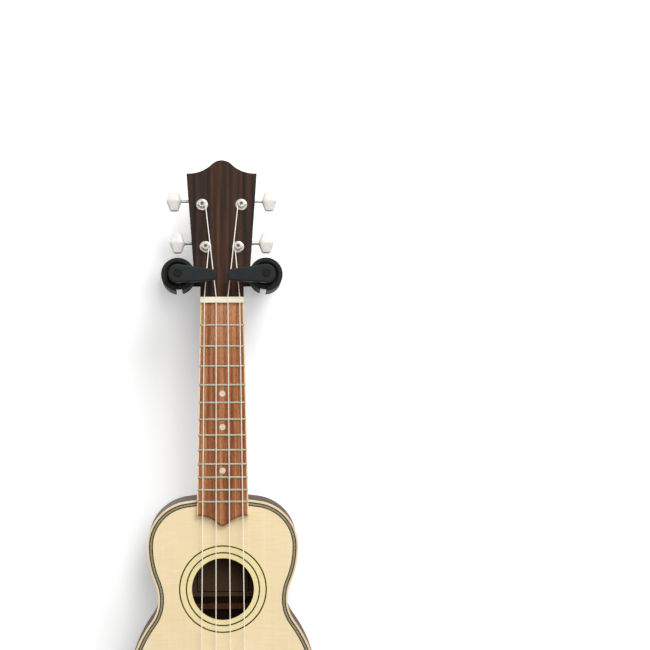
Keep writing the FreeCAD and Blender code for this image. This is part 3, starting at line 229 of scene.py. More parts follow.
class Finish(Nodes):
    """One material: a Principled shader, and the nodes that vary it over the surface."""

    def __init__(self, name, **constants):
        self.material = bpy.data.materials.new(name)
        self.material.use_nodes = True
        super().__init__(self.material.node_tree)
        self.tree.nodes.clear()
        self.shader = self.tree.nodes.new("ShaderNodeBsdfPrincipled")
        self.output = self.tree.nodes.new("ShaderNodeOutputMaterial")
        self.tree.links.new(self.shader.outputs[0], self.output.inputs["Surface"])
        self.set(**constants)

    def set(self, **signals):
        """Feed the shader's sockets, each named with _ for a space."""
        for socket, value in signals.items():
            self.feed(self.shader.inputs[socket.replace("_", " ")], value)

    def colour(self):
        """What feeds the shader's colour so far."""
        return Signal(self, self.shader.inputs["Base Color"].links[0].from_socket)

    def bump(self, height, depth):
        """Raise the surface by depth metres where height is 1."""
        values = {"Strength": 1.0, "Distance": depth, "Height": height}
        self.set(Normal=self.add("ShaderNodeBump", None, values))


# ---------------------------------------------------------------- woods
def along(axis, width, reach):
    """Sizes of a pattern that is fine across the grain and long along one axis."""
    sizes = [width, width, width]
    sizes[axis] = reach
    return sizes


def striped(place, spacing):
    """From 0 to 1 and back, once in each spacing."""
    return (place * (TAU / spacing)).sine() * 0.5 + 0.5


def wood(name, dark, middle, light, band=4 * MM, fibre=0.5 * MM, length=60 * MM, pores=0.3,
         grain_depth=0.03 * MM, axis=2, **constants):
    """Wood whose grain runs along one axis: broad bands, fine fibres and short dark pores."""
    finish = Finish(name, **constants)
    band_length, pore_width, pore_length = length * 4, fibre * 0.8, length * 0.12
    bands = finish.noise(along(axis, band, band_length), detail=3.0, roughness=0.55, warp=0.3)
    fibres = finish.noise(along(axis, fibre, length), detail=4.0, roughness=0.65, shift=3.1)
    flecks = finish.noise(along(axis, pore_width, pore_length), detail=1.0, shift=7.7).smooth(0.62, 0.74)
    colour = finish.shade(bands * 0.5 + fibres * 0.5, dark, middle, light)
    finish.set(Base_Color=finish.mix(flecks * pores, colour, dark))
    finish.bump(fibres - flecks * 0.6, grain_depth)
    return finish


def spruce():
    """Pale quartered spruce under satin lacquer: faint growth lines and cross silk.

    It is yellower round the sound hole, and brown where it is cut through.
    """
    finish = Finish("spruce", Roughness=0.45, Specular_IOR_Level=0.35)
    ring_spacing, ring_wander = 1.4 * MM, 1.2 * MM
    yellow_within, pale_beyond = 34 * MM, 44 * MM
    face_depth, cut_depth = 0.15 * MM, 0.5 * MM
    x, y, z = finish.axes()
    wander = finish.noise((30 * MM, 30 * MM, 160 * MM), detail=2.0) * ring_wander
    rings = striped(x + wander, ring_spacing)
    uneven = finish.noise((3.5 * MM, 40 * MM, 260 * MM), detail=2.0, shift=1.7)
    silk = finish.noise((11 * MM, 30 * MM, 1.3 * MM), detail=3.0, roughness=0.6, shift=5.3, warp=0.6)
    cloud = finish.noise(60 * MM, detail=2.0, shift=9.1)
    tone = rings * 0.05 + uneven * 0.2 + silk * 0.4 + cloud * 0.35
    colour = finish.shade(tone, paint(231, 208, 162), paint(239, 217, 174), paint(246, 228, 190))
    low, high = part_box("rosette")
    height = z - (low.z + high.z) / 2
    outside = (x * x + height * height).smooth(yellow_within ** 2, pale_beyond ** 2)
    face = finish.mix(outside, finish.tint(colour, 0.99, 1.04, 0.88), colour)
    below = (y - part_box("soundboard")[0].y).smooth(face_depth, cut_depth)
    finish.set(Base_Color=finish.mix(below, face, paint(132, 92, 56)))
    finish.bump(rings * 0.5 + silk * 0.5, 0.008 * MM)
    return finish


def rosewood_veneer():
    """Dark rosewood with upright stripes from red brown to nearly black, darker towards both edges."""
    finish = Finish("rosewood_veneer", Roughness=0.45, Specular_IOR_Level=0.1)
    stripe_spacing, stripe_wander = 6.4 * MM, 7 * MM
    lightest_x, half_width = 3 * MM, 34 * MM
    x, _, _ = finish.axes()
    wander = finish.noise((16 * MM, 40 * MM, 90 * MM), detail=2.0, shift=0.6) * stripe_wander
    stripes = striped(x + wander, stripe_spacing)
    broad = finish.noise((11 * MM, 60 * MM, 200 * MM), detail=2.0, shift=2.4)
    middle = finish.noise((3.2 * MM, 60 * MM, 160 * MM), detail=2.0, roughness=0.6, shift=6.2, warp=0.2)
    fibres = finish.noise((0.45 * MM, 5 * MM, 30 * MM), detail=3.0, roughness=0.6, shift=4.4)
    pores = finish.noise((0.3 * MM, 4 * MM, 3.5 * MM), detail=1.0, shift=8.8).smooth(0.6, 0.7)
    edges = (abs(x - lightest_x) / half_width).smooth(0.1, 1.0)
    tone = stripes * 0.12 + broad * 0.36 + middle * 0.34 + fibres * 0.18 + 0.03 - edges * 0.07
    colour = finish.ramp(tone, (0.37, paint(25, 20, 18)), (0.46, paint(43, 31, 25)),
                         (0.56, paint(65, 40, 26)), (0.68, paint(94, 56, 33)))
    finish.set(Base_Color=finish.mix(pores * 0.7, colour, paint(30, 22, 20)))
    finish.bump(fibres - pores, 0.02 * MM)
    return finish


def rosewood_board():
    """Unlacquered brown board, paler towards the nut: dark upright streaks, fine fibres, short pores."""
    finish = Finish("rosewood_board", Roughness=0.6, Specular_IOR_Level=0.2)
    _, _, z = finish.axes()
    streaks = finish.noise((3.4 * MM, 10 * MM, 150 * MM), detail=2.0, roughness=0.6, shift=1.3, warp=0.3)
    lines = finish.noise((0.9 * MM, 10 * MM, 55 * MM), detail=3.0, roughness=0.65, shift=3.7)
    fibres = finish.noise((0.35 * MM, 3 * MM, 12 * MM), detail=3.0, roughness=0.65, shift=5.9)
    pores = finish.noise((0.35 * MM, 2 * MM, 3.6 * MM), detail=1.0, shift=2.2).smooth(0.58, 0.68)
    low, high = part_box("fretboard")
    # Paler towards the nut, and darker and warmer towards the body: a plain gradient along the board's
    # length.
    rise = (z - low.z) / (high.z - low.z)
    nutward = rise * rise * rise * rise
    tone = streaks * 0.42 + lines * 0.38 + fibres * 0.2 + (nutward - 0.13) * 0.085
    colour = finish.ramp(tone, (0.33, paint(92, 53, 33)), (0.44, paint(136, 84, 53)),
                         (0.54, paint(175, 120, 82)), (0.68, paint(206, 153, 114)))
    graded_to_nut = finish.mix(nutward, finish.tint(colour, 1.03, 0.94, 0.84), colour)
    finish.set(Base_Color=finish.mix(pores * 0.7, graded_to_nut, paint(78, 46, 30)))
    finish.bump(fibres - pores, 0.04 * MM)
    return finish


def rib_wood():
    """Dark greyish brown sides and back under satin lacquer; the back's inner face inside the body gets
    painted shade, much darker and browner.
    """
    finish = wood("rib_wood", paint(50, 40, 33), paint(74, 60, 50), paint(98, 82, 69), band=5 * MM,
                  length=90 * MM, Roughness=0.5, Specular_IOR_Level=0.04)
    colour = finish.colour()
    _, y, _ = finish.axes()
    # Painted shade: the back's inner face, in the shadow inside the body, is mixed most of the way to a
    # near-black brown.
    within = (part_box("back_plate")[0].y + 0.3 * MM - y).smooth(0, 0.2 * MM)
    flat = abs(finish.split(finish.add("ShaderNodeNewGeometry", output="True Normal"))[1]).smooth(0.9, 0.95)
    painted_shade_inside = finish.mix(0.8, colour, paint(26, 17, 11))
    finish.set(Base_Color=finish.mix(within * flat, colour, painted_shade_inside))
    return finish


def mahogany():
    """Plain red brown wood of the neck."""
    return wood("mahogany", paint(70, 40, 24), paint(98, 58, 36), paint(120, 74, 47), band=6 * MM,
                Roughness=0.5, Specular_IOR_Level=0.12)


def maple():
    """Cream binding with hardly any figure."""
    return wood("maple", paint(222, 188, 142), paint(236, 206, 162), paint(245, 219, 180), band=5 * MM,
                pores=0.06, grain_depth=0.01 * MM, Roughness=0.4, Specular_IOR_Level=0.35)


def lining_wood():
    """Raw brown wood inside the body, with its grain from side to side."""
    return wood("lining_wood", paint(96, 66, 42), paint(122, 86, 56), paint(146, 108, 74), axis=0,
                Roughness=0.75)


# ---------------------------------------------------------------- other finishes
def purfling_wood():
    """Dyed wood, nearly black."""
    finish = Finish("purfling_wood", Roughness=0.5, Specular_IOR_Level=0.2)
    grain = finish.noise(0.6 * MM, detail=2.0)
    finish.set(Base_Color=finish.shade(grain, paint(34, 31, 22), paint(52, 48, 35)))
    return finish


def rope_wood():
    """The pale strands of the rope inlay."""
    finish = Finish("rope_wood", Roughness=0.5, Specular_IOR_Level=0.2)
    grain = finish.noise(0.8 * MM, detail=2.0)
    finish.set(Base_Color=finish.shade(grain, paint(150, 148, 116), paint(182, 179, 148)))
    return finish


def bone():
    """Warm white bone with faint long marks."""
    finish = Finish("bone", Roughness=0.4, Subsurface_Weight=0.1, Subsurface_Radius=(0.002, 0.001, 0.0006),
                    Subsurface_Scale=0.3)
    marks = finish.noise((4 * MM, 1.2 * MM, 0.5 * MM), detail=3.0)
    finish.set(Base_Color=finish.shade(marks, paint(236, 226, 198), paint(248, 241, 218)))
    finish.bump(marks, 0.008 * MM)
    return finish


def metal(name, dull, bright, low, high, grit=1.6 * MM, share=1.0):
    """Plated metal with faint handling marks in its polish; a share below 1 is a duller plating."""
    finish = Finish(name, Metallic=share)
    marks = finish.noise(grit, detail=2.0)
    finish.set(Base_Color=finish.shade(marks, dull, bright), Roughness=marks * (high - low) + low)
    return finish


def fret_wire():
    return metal("fret_wire", paint(142, 140, 122), paint(158, 156, 138), 0.3, 0.42)


def tuner_metal():
    """Nickel plate, with painted shade in and round the small recess on top of each string post."""
    finish = metal("tuner_metal", paint(188, 185, 177), paint(208, 205, 197), 0.2, 0.28, grit=4 * MM,
                   share=0.8)
    colour = finish.colour()
    shade_core, shade_reach, far_away = 0.6 * MM, 2.2 * MM, 1.0
    x, y, z = finish.axes()
    nearest = far_away
    for number in TUNERS:
        foot, axis = joint_place("post_%d_turn" % number), joint_axis("post_%d_turn" % number)
        sideways = x - foot.x
        upwards = (y - foot.y) * axis.z - (z - foot.z) * axis.y
        nearest = (sideways * sideways + upwards * upwards).least(nearest)
    # Painted shade: darker towards each post's axis, fully dark near the middle of the recess and fading out
    # on the cap round it.
    outside = nearest.smooth(shade_core ** 2, shade_reach ** 2)
    finish.set(Base_Color=finish.mix(outside, paint(104, 100, 88), colour))
    return finish


def bright_steel():
    return metal("bright_steel", paint(176, 177, 180), paint(206, 207, 210), 0.25, 0.4)


def pearl_dot():
    """Cloudy mother-of-pearl."""
    finish = Finish("pearl_dot", Roughness=0.3)
    cloud = finish.noise(1.6 * MM, detail=2.0, warp=1.5)
    finish.set(Base_Color=finish.shade(cloud, paint(196, 184, 160), paint(226, 216, 194)))
    return finish


def nylon():
    """Clear whitish nylon."""
    finish = Finish("nylon", Roughness=0.3, IOR=1.53, Subsurface_Weight=0.3,
                    Subsurface_Radius=(0.001, 0.001, 0.001), Subsurface_Scale=0.5)
    cloud = finish.noise(3 * MM, detail=1.0)
    finish.set(Base_Color=finish.shade(cloud, paint(240, 234, 220), paint(252, 247, 236)))
    return finish


def black_steel():
    """Powder-coated steel."""
    finish = Finish("black_steel", Specular_IOR_Level=0.3)
    grit = finish.noise(0.35 * MM, detail=2.0)
    finish.set(Base_Color=finish.shade(grit, paint(26, 26, 27), paint(38, 38, 39)),
               Roughness=grit * 0.2 + 0.45)
    finish.bump(grit, 0.03 * MM)
    return finish


def pearl_button():
    """Milky plastic with soft pearly swirls."""
    finish = Finish("pearl_button", Roughness=0.16, Subsurface_Weight=0.1,
                    Subsurface_Radius=(0.002, 0.002, 0.0018), Subsurface_Scale=0.5)
    swirl = finish.noise(4 * MM, detail=2.0, warp=1.0)
    finish.set(Base_Color=finish.shade(swirl, paint(213, 209, 202), paint(225, 222, 216)))
    return finish


def label_paper():
    """Brown paper with a thin dark line inside its edge, and no other print."""
    finish = Finish("label_paper", Roughness=0.85, Specular_IOR_Level=0.1)
    line_inset, half_line = 4.2 * MM, 0.4 * MM
    low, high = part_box("label")
    x, _, z = finish.axes()
    inset_x = (high.x - low.x) / 2 - abs(x - (low.x + high.x) / 2)
    inset_z = (high.z - low.z) / 2 - abs(z - (low.z + high.z) / 2)
    border = abs(inset_x.least(inset_z) - line_inset) < half_line
    fibres = finish.noise(0.8 * MM, detail=4.0)
    paper = finish.shade(fibres, paint(100, 76, 55), paint(118, 92, 68))
    finish.set(Base_Color=finish.mix(border, paper, paint(34, 24, 18)))
    return finish


def moulded(name, dark, light, low, high, depth=0.02 * MM, gloss=0.2):
    """Moulded plastic or rubber with a fine even texture."""
    finish = Finish(name, Specular_IOR_Level=gloss)
    grain = finish.noise(0.45 * MM, detail=2.0)
    tone = finish.noise(14 * MM, detail=2.0, shift=3.3)
    finish.set(Base_Color=finish.ramp(grain * 0.4 + tone * 0.6, (0.35, dark), (0.65, light)),
               Roughness=grain * (high - low) + low)
    finish.bump(grain, depth)
    return finish


def gate_plastic():
    return moulded("gate_plastic", paint(33, 36, 36), paint(41, 44, 44), 0.45, 0.55, gloss=0.1)


def cap_plastic():
    return moulded("cap_plastic", paint(22, 22, 20), paint(29, 29, 27), 0.5, 0.62, gloss=0.1)


def ring_rubber():
    return moulded("ring_rubber", paint(26, 27, 25), paint(35, 36, 33), 0.55, 0.7, depth=0.03 * MM,
                   gloss=0.15)


def carrier_plastic():
    return moulded("carrier_plastic", paint(28, 29, 30), paint(36, 37, 38), 0.5, 0.62)


def foam():
    """Closed-cell foam with fine pits."""
    finish = Finish("foam", Roughness=0.95, Specular_IOR_Level=0.1)
    cell = 0.9 * MM
    cells = finish.add("ShaderNodeTexVoronoi", None, {"Vector": finish.place(), "Scale": 1 / cell})
    finish.set(Base_Color=finish.ramp(cells, (0.1, paint(20, 20, 18)), (0.8, paint(38, 38, 35))))
    finish.bump(cells, 0.12 * MM)
    return finish


FINISHES = {make.__name__: make().material for make in (
    spruce, rosewood_veneer, rosewood_board, mahogany, rib_wood, maple, purfling_wood, rope_wood, lining_wood,
    bone, fret_wire, pearl_dot, nylon, tuner_metal, pearl_button, label_paper, gate_plastic, cap_plastic,
    ring_rubber, foam, black_steel, carrier_plastic, bright_steel)}


def dress(obj, slot):
    """Give a piece the finish of one of the record's material slots."""
    obj.data.materials.clear()
    obj.data.materials.append(FINISHES[slot])


for part in frame["record"]["subparts"]:
    dress(nodes[part["node"]], part["material_slot"])


# ---------------------------------------------------------------- shapes
def full_turn(count):
    """Angles evenly round a circle."""
    return [TAU * step / count for step in range(count)]


def quarter_turn(count):
    """Angles from nothing to a square corner, in count steps."""
    return [math.radians(90 / count * step) for step in range(count + 1)]


def circle(centre, side, up, radius, count):
    """Points round a circle that lies in the plane of side and up."""
    return [centre + (side * math.cos(turn) + up * math.sin(turn)) * radius for turn in full_turn(count)]


def across(direction, hint=RIGHT):
    """A unit vector square to a direction, as near as can be to a hint."""
    return (hint - direction * hint.dot(direction)).normalized()


def with_next(loop):
    """Each point of a closed loop, with the one after it."""
    return zip(loop, loop[1:] + loop[:1])


def girth(loop):
    """The length of a closed loop."""
    return sum((end - start).length for start, end in with_next(loop))


class Shape:
    """The points and faces of one piece, put together from skins; a face's kind picks its material."""

    def __init__(self):
        self.points, self.faces, self.kinds = [], [], []

    def face(self, corners, kind):
        self.faces.append(tuple(corners))
        self.kinds.append(kind)

    def skin(self, rings, closed=False, kind=0):
        """Join rings of equally many points, into a loop if closed and otherwise with a cap at each end."""
        start, count, last = len(self.points), len(rings[0]), len(rings) - 1
        self.points += [tuple(point) for ring in rings for point in ring]
        for span in range(last + closed):
            near, far = start + span * count, start + (span + 1) % (last + 1) * count
            for step in range(count):
                after = (step + 1) % count
                self.face((near + step, near + after, far + after, far + step), kind)
        if not closed:
            self.face(range(start + count - 1, start - 1, -1), kind)
            self.face(range(start + last * count, start + (last + 1) * count), kind)
        return self

    def lathe(self, origin, axis, profile, count, closed=False):
        """Turn a profile of (distance along the axis, radius) round the axis, with count points a turn."""
        side = across(axis)
        up = axis.cross(side)
        rings = [circle(origin + axis * far, side, up, radius, count) for far, radius in profile]
        return self.skin(rings, closed)

    def rod(self, path, radius, closed=False):
        """A round rod along a path of points."""
        sides, nearly_along = 12, 0.99
        rings, side = [], RIGHT
        for index, point in enumerate(path):
            if closed:
                ahead = path[(index + 1) % len(path)] - path[index - 1]
            else:
                ahead = path[min(index + 1, len(path) - 1)] - path[max(index - 1, 0)]
            ahead.normalize()
            side = across(ahead, side if abs(side.dot(ahead)) < nearly_along else UP)
            rings.append(circle(point, side, ahead.cross(side), radius, sides))
        return self.skin(rings, closed)

    def piece(self, name, body, slots, replaced=(), crisp=35):
        """Make the object, smooth but for edges sharper than crisp degrees, and let it ride on its body."""
        mesh = bpy.data.meshes.new(name)
        mesh.from_pydata(self.points, [], self.faces)
        editor = bmesh.new()
        editor.from_mesh(mesh)
        for face, kind in zip(editor.faces, self.kinds):
            face.material_index = kind
        bmesh.ops.recalc_face_normals(editor, faces=editor.faces)
        editor.to_mesh(mesh)
        editor.free()
        mesh.shade_smooth()
        mesh.set_sharp_from_angle(angle=math.radians(crisp))
        for slot in slots:
            mesh.materials.append(FINISHES[slot])
        obj = bpy.data.objects.new(name, mesh)
        bpy.context.collection.objects.link(obj)
        if replaced:
            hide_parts(*replaced)
        if body:
            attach(obj, body)
        return obj


def helix(centre, axis, radius, pitch, turns, start=0.0):
    """Points of a coil that climbs along the axis, from an angle called start."""
    points_a_turn = 24
    side = across(axis)
    up = axis.cross(side)
    points = []
    for step in range(int(turns * points_a_turn) + 1):
        turn = step / points_a_turn
        angle = start + TAU * turn
        out = side * math.cos(angle) + up * math.sin(angle)
        points.append(centre + axis * pitch * turn + out * radius)
    return points


# ---------------------------------------------------------------- tuners
POST_AXIS = towards_front(joint_axis("post_1_turn"))
HEAD_UP = POST_AXIS.cross(RIGHT) * math.copysign(1, POST_AXIS.cross(RIGHT).z)
STRING_RADIUS = 0.4 * MM
POST_WAIST = 2.4 * MM


def soft(share):
    """Push a sine or cosine outwards, so that a ring of points becomes a rectangle with round corners."""
    squareness = 0.55
    return math.copysign(abs(share) ** squareness, share)


def make_button(number):
    """A six-sided pearl lozenge, thickest along the shaft's line, with soft edges and a short round root.

    The root is given as millimetres from the lozenge's inner end, and radius.
    """
    length, height, overhang = 13.4 * MM, 18.2 * MM, 1.0 * MM
    wide, narrow, thick, thin = length / 2, 3.5 * MM, 4.2 * MM, 2.0 * MM
    top, crest, edge, corner = height / 2, 0.9 * MM, 1.1 * MM, 1.32 * MM
    root = ((-0.9, 1.892), (-0.65, 2.2), (0.9, 2.42), (2.5, 2.42))
    steps = 12
    pivot = joint_place("key_%d_turn" % number)
    out = RIGHT * math.copysign(1, pivot.x)
    low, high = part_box("button_%d" % number)
    tip = max(low.x * out.x, high.x * out.x) - pivot.x * out.x + overhang
    start, middle = tip - length, pivot + out * (tip - length / 2)
    levels = [(top * step / steps, 0.0) for step in range(steps - 1)]
    levels += [(top - edge * (1 - math.sin(turn)), turn) for turn in quarter_turn(10)]
    rings = []
    for level, turn in [(-level, turn) for level, turn in reversed(levels[1:])] + levels:
        rise = (math.hypot(level, crest) - crest) / (math.hypot(top, crest) - crest)
        half_length = wide + (narrow - wide) * rise - corner * (1 - math.cos(turn))
        half_depth = thick + (thin - thick) * rise - edge * (1 - math.cos(turn))
        rings.append([middle + HEAD_UP * level + out * half_length * soft(math.cos(angle))
                      + POST_AXIS * half_depth * soft(math.sin(angle)) for angle in full_turn(40)])
    button = Shape().skin(rings)
    button.lathe(pivot, out, [(start + far * MM, radius * MM) for far, radius in root], count=28)
    button.piece("pearl_button_%d" % number, "key_%d" % number, ["pearl_button"], ["button_%d" % number])


def make_ferrules():
    """Domed washers on the head, each with its sleeve down the hole; (height, radius) in millimetres."""
    dome = [(0, 5.4), (0.35, 5.4), (0.8, 5.25), (1.2, 4.9), (1.5, 4.35), (1.6, 3.8), (1.6, 3.45)]
    sleeve = [(1.4, 3.1), (-6.8, 3.1), (-6.8, 4.2), (0, 4.2)]
    profile = [(height * MM, radius * MM) for height, radius in dome + sleeve]
    ferrules = Shape()
    for number in TUNERS:
        ferrules.lathe(joint_place("post_%d_turn" % number), POST_AXIS, profile, count=56, closed=True)
    ferrules.piece("ferrules", "ukulele", ["tuner_metal"], ["tuner_ferrules"], crisp=50)


def make_winding(number):
    """The string's turns round its post, with its end drawn through the post's hole."""
    turns, pitch, hole_level = 1.1, 0.83 * MM, 3.15 * MM
    radius = POST_WAIST + STRING_RADIUS * 1.05
    tail_reach = (-4.6 * MM, -3.6 * MM, -2.6 * MM)
    foot = joint_place("post_%d_turn" % number)
    inward = -math.copysign(1, foot.x)
    on_low_post = foot.z < joint_place("post_2_turn").z - 1 * MM
    level, climb = (2.7 * MM, pitch) if on_low_post else (3.6 * MM, -pitch)
    start = 0.0 if inward > 0 else math.pi
    path = helix(foot + POST_AXIS * level, POST_AXIS, radius, climb, turns, start)
    tail = [foot + POST_AXIS * hole_level + RIGHT * inward * reach for reach in tail_reach]
    winding = Shape().rod(path, STRING_RADIUS).rod(tail, STRING_RADIUS)
    winding.piece("string_winding_%d" % number, "post_%d" % number, ["nylon"])


# ---------------------------------------------------------------- strings, inlay
def make_knots():
    """A small knot at the end of each string, under the bridge's lower edge."""
    knot_y, drop, size, fullness = -88.7 * MM, 0.9 * MM, 0.42 * MM, 1.1
    low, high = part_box("strings")
    knot_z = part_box("bridge")[0].z - drop
    pitch = (high.x - low.x - 2 * STRING_RADIUS) / (len(TUNERS) - 1)
    knots = Shape()
    for number in TUNERS:
        centre = Vector((low.x + STRING_RADIUS + pitch * (number - 1), knot_y, knot_z))
        path = []
        for turn in full_turn(48):
            sideways = math.sin(turn) + 2 * math.sin(2 * turn)
            outwards = math.sin(3 * turn) * fullness
            upwards = math.cos(turn) - 2 * math.cos(2 * turn)
            path.append(centre + Vector((sideways, outwards, upwards)) * size)
        knots.rod(path, STRING_RADIUS, closed=True)
    knots.piece("string_knots", "ukulele", ["nylon"])


def rim_loop(node):
    """The outer edge of a flat node's front face, as points in order."""
    decimals, flatness = 7, 0.01 * MM
    mesh, front = nodes[node].data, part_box(node)[0].y
    spots = [tuple(round(value, decimals) for value in vertex.co) for vertex in mesh.vertices]
    edges = {}
    for polygon in mesh.polygons:
        corners = [spots[index] for index in polygon.vertices]
        if all(abs(corner[1] - front) < flatness for corner in corners):
            edges.update(dict.fromkeys(with_next(corners)))
    after = {start: end for start, end in edges if (end, start) not in edges}
    loops = []
    while after:
        spot = min(after)
        loop = []
        while spot in after:
            loop.append(Vector(spot))
            spot = after.pop(spot)
        loops.append(loop)
    return max(loops, key=girth)


def evenly(loop, count):
    """The same closed loop as count points at equal distances."""
    ends = loop[1:] + loop[:1]
    lengths = [(end - start).length for start, end in zip(loop, ends)]
    pace = sum(lengths) / count
    points, walked, index = [], 0.0, 0
    for number in range(count):
        while walked + lengths[index] < number * pace:
            walked += lengths[index]
            index += 1
        points.append(loop[index].lerp(ends[index], (number * pace - walked) / lengths[index]))
    return points


def make_rope_inlay():
    """A dark inlay round the soundboard with a rope of short slanted pale tiles down its middle.

    The tiles' pitch, length and slant are counted in paces along the rim.
    """
    width, depth, rope_start, rope_end = 3.5 * MM, 1.0 * MM, 1.0 * MM, 2.55 * MM
    sunk, proud = 0.3 * MM, 0.03 * MM
    pace, tile_pitch, tile_length, tile_slant = 0.325 * MM, 4, 2.6, 3
    edge = rim_loop("purfling")
    count = int(girth(edge) / pace) // tile_pitch * tile_pitch
    path = evenly(edge, count)
    inward = []
    for index in range(count):
        ahead = (path[(index + 3) % count] - path[index - 3]).normalized()
        inward.append(ahead.cross(FRONT))
    centre = sum(path, Vector()) / count
    if sum((centre - point).dot(way) for point, way in zip(path, inward)) < 0:
        inward = [-way for way in inward]
    inlay = Shape()
    inlay.skin([[point, point + way * width, point + way * width - FRONT * depth, point - FRONT * depth]
                for point, way in zip(path, inward)], closed=True)
    corners = ((0, rope_start), (tile_length, rope_start), (tile_slant + tile_length, rope_end),
               (tile_slant, rope_end))
    for start in range(0, count, tile_pitch):
        tile = []
        for shift, far in corners:
            index = int(start + shift)
            near, after, share = index % count, (index + 1) % count, start + shift - index
            tile.append(path[near].lerp(path[after], share) + inward[near].lerp(inward[after], share) * far)
        inlay.skin([[corner + FRONT * rise for corner in tile] for rise in (-sunk, proud)], kind=1)
    inlay.piece("rope_inlay", "ukulele", ["purfling_wood", "rope_wood"], ["purfling"], crisp=30)


# ---------------------------------------------------------------- hanger
def make_foam():
    """A closed-cell sleeve on each arm, a little fuller in the middle and rounded at both ends."""
    outer, inner, round_end, fuller, bevel = 9.35 * MM, 5.1 * MM, 1.4 * MM, 0.1 * MM, 0.4 * MM
    low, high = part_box("foam_sleeves")
    for side in ("left", "right"):
        pivot = joint_place("%s_gate_turn" % side)
        axis = towards_front(joint_axis("%s_gate_turn" % side))
        lean = outer * abs(axis.z)
        front, back = [(pivot.y - end) / -axis.y for end in (low.y + lean, high.y - lean)]
        profile = [(back + round_end * (1 - math.sin(turn)), outer - round_end * (1 - math.cos(turn)))
                   for turn in reversed(quarter_turn(6))]
        profile += [(back + (front - back) * share, outer + fuller * math.sin(math.pi * share))
                    for share in (0.15, 0.3, 0.5, 0.7, 0.85)]
        profile += [(front - round_end * (1 - math.sin(turn)), outer - round_end * (1 - math.cos(turn)))
                    for turn in quarter_turn(6)]
        profile += [(front, inner + bevel), (front - bevel, inner)]
        profile += [(back + bevel, inner), (back, inner + bevel)]
        sleeve = Shape().lathe(pivot, axis, profile, count=56, closed=True)
        obj = sleeve.piece("foam_sleeve_" + side, "yoke", ["foam"], ["foam_sleeves"], crisp=60)


def make_springs():
    """Two coil springs of round wire, fixed in place at one length; the real ones shorten as the carrier
    comes down.
    """
    wire, turns = 0.4 * MM, 6
    low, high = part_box("return_springs")
    radius = (high.y - low.y) / 2 - wire
    pitch = (high.z - low.z - 2 * wire) / turns
    springs = Shape()
    for centre_x in (low.x + radius + wire, high.x - radius - wire):
        foot = Vector((centre_x, (low.y + high.y) / 2, low.z + wire))
        springs.rod(helix(foot, UP, radius, pitch, turns), wire)
    obj = springs.piece("coil_springs", None, ["bright_steel"], ["return_springs"])
    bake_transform(obj)


for tuner in TUNERS:
    make_button(tuner)
    make_winding(tuner)
make_ferrules()
make_knots()
make_rope_inlay()
make_foam()
make_springs()


# ---------------------------------------------------------------- room, light and camera
WALL_GLOW, FLOOR_GLOW = 0.3, 0.3
SKY_ABOVE, SKY_FRONT, SKY_BELOW = 0.9, 0.1, 0.1
LIT_PLACE = Vector((0, -0.06, -0.16))
# Each lamp's name, place, width and power.
LAMPS = (("key", (0.34, -2.3, 0.3), 0.8, 15.5),
         ("top", (0.6, -1.3, 1.35), 1.0, 28.0),
         ("back", (-0.7, 2.3, 0.7), 1.0, 11.0))
CAMERA_BACK = 2.132
CAMERA_ROLL = -0.0026
LENS = 130.19
AIM = Vector((0.0894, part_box("fretboard")[0].y, -0.0348))


def flat_square(name, half, matrix):
    """A square of the room, turned and placed by a matrix."""
    mesh = bpy.data.meshes.new(name)
    corners = [(-half, -half, 0), (half, -half, 0), (half, half, 0), (-half, half, 0)]
    mesh.from_pydata(corners, [], [(0, 1, 2, 3)])
    square = bpy.data.objects.new(name, mesh)
    square.matrix_world = matrix
    bpy.context.collection.objects.link(square)
    square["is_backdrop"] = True
    return square


def make_wall():
    """A bright white wall just behind the plate, which is clear from behind and casts no shadow."""
    half, gap = 6.0, 0.5 * MM
    wall = flat_square("wall", half, Matrix.Translation((0, gap, 0)) @ Matrix.Rotation(math.pi / 2, 4, "X"))
    finish = Finish("wall_paint", Roughness=0.9, Specular_IOR_Level=0.0, Base_Color=(0.9, 0.9, 0.9, 1.0),
                    Emission_Color=WHITE, Emission_Strength=WALL_GLOW)
    clear = finish.add("ShaderNodeBsdfTransparent")
    painted = Signal(finish, finish.shader.outputs[0])
    behind = finish.add("ShaderNodeNewGeometry", output="Backfacing")
    shown = finish.add("ShaderNodeMixShader", None, (behind, painted, clear))
    finish.feed(finish.output.inputs["Surface"], shown)
    wall.data.materials.append(finish.material)
    wall.visible_shadow = False
    wall.visible_diffuse = False


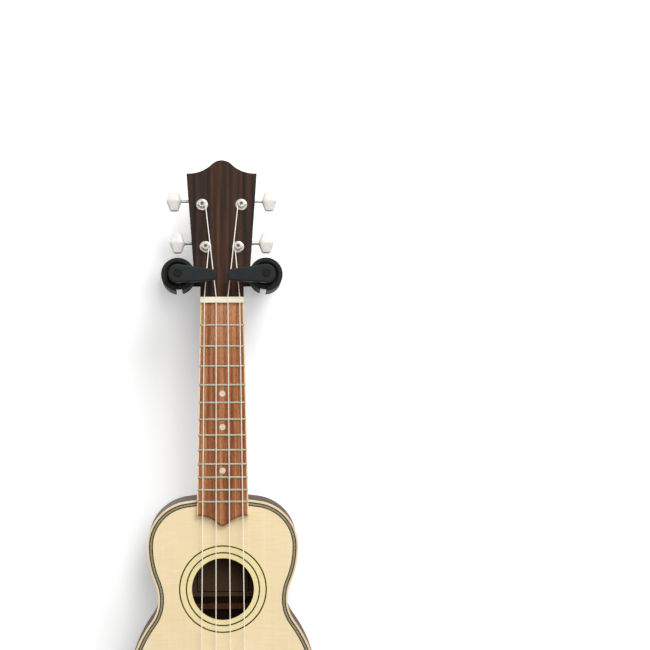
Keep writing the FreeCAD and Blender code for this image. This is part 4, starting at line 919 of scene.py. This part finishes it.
def make_floor():
    """A pale floor well below the ukulele."""
    half, drop = 8.0, 0.25
    floor = flat_square("floor", half, Matrix.Translation((0, 0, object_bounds()[0].z - drop)))
    finish = Finish("floor_paint", Roughness=0.8, Specular_IOR_Level=0.2, Emission_Color=WHITE,
                    Emission_Strength=FLOOR_GLOW)
    grain = finish.noise(20 * MM, detail=2.0)
    finish.set(Base_Color=finish.shade(grain, paint(226, 226, 224), paint(232, 232, 230)))
    floor.data.materials.append(finish.material)
    floor.visible_diffuse = False


def make_sky():
    """The world's own light: soft and white, weaker from the front, and plain white where it is seen."""
    world = bpy.data.worlds.new("studio")
    bpy.context.scene.world = world
    world.use_nodes = True
    sky = Nodes(world.node_tree)
    _, back_way, up_way = sky.split(sky.add("ShaderNodeTexCoord", output="Generated"))
    ahead = (back_way * -1).smooth(0.1, 0.9) * (1 - abs(up_way).smooth(0.15, 0.4))
    around = up_way.smooth(-0.4, 0.45) * (SKY_ABOVE - SKY_BELOW) + SKY_BELOW
    strength = ahead * (SKY_FRONT - around) + around
    rays = sky.add("ShaderNodeLightPath", output="Is Camera Ray").socket.node.outputs
    looking = ("Is Camera Ray", "Is Glossy Ray", "Is Transmission Ray")
    seen = sum(Signal(sky, rays[kind]) for kind in looking).least(1.0)
    background = world.node_tree.nodes["Background"]
    background.inputs["Color"].default_value = WHITE
    sky.feed(background.inputs["Strength"], strength + seen * (1 - strength))


def make_lamps():
    """A key in front, which shiny surfaces don't mirror, one above to the right, and one behind."""
    for name, place, width, power in LAMPS:
        lamp = bpy.data.lights.new(name, "AREA")
        lamp.shape = "SQUARE"
        lamp.size = width
        lamp.energy = power
        holder = bpy.data.objects.new(name, lamp)
        holder.location = place
        holder.rotation_euler = (LIT_PLACE - Vector(place)).to_track_quat("-Z", "Y").to_euler()
        bpy.context.collection.objects.link(holder)
        holder.visible_glossy = name != "key"


def make_camera():
    """A long lens far in front, aimed to the right of the ukulele's neck."""
    lens = bpy.data.cameras.new("camera")
    lens.lens = LENS
    camera = bpy.data.objects.new("camera", lens)
    camera.location = (0, -CAMERA_BACK, 0)
    turn = (AIM - camera.location).to_track_quat("-Z", "Y") @ Quaternion((0, 0, 1), CAMERA_ROLL)
    camera.rotation_euler = turn.to_euler()
    bpy.context.collection.objects.link(camera)
    bpy.context.scene.camera = camera


make_camera()
make_wall()
make_floor()
make_sky()
make_lamps()
bpy.context.scene.view_settings.view_transform = "Standard"
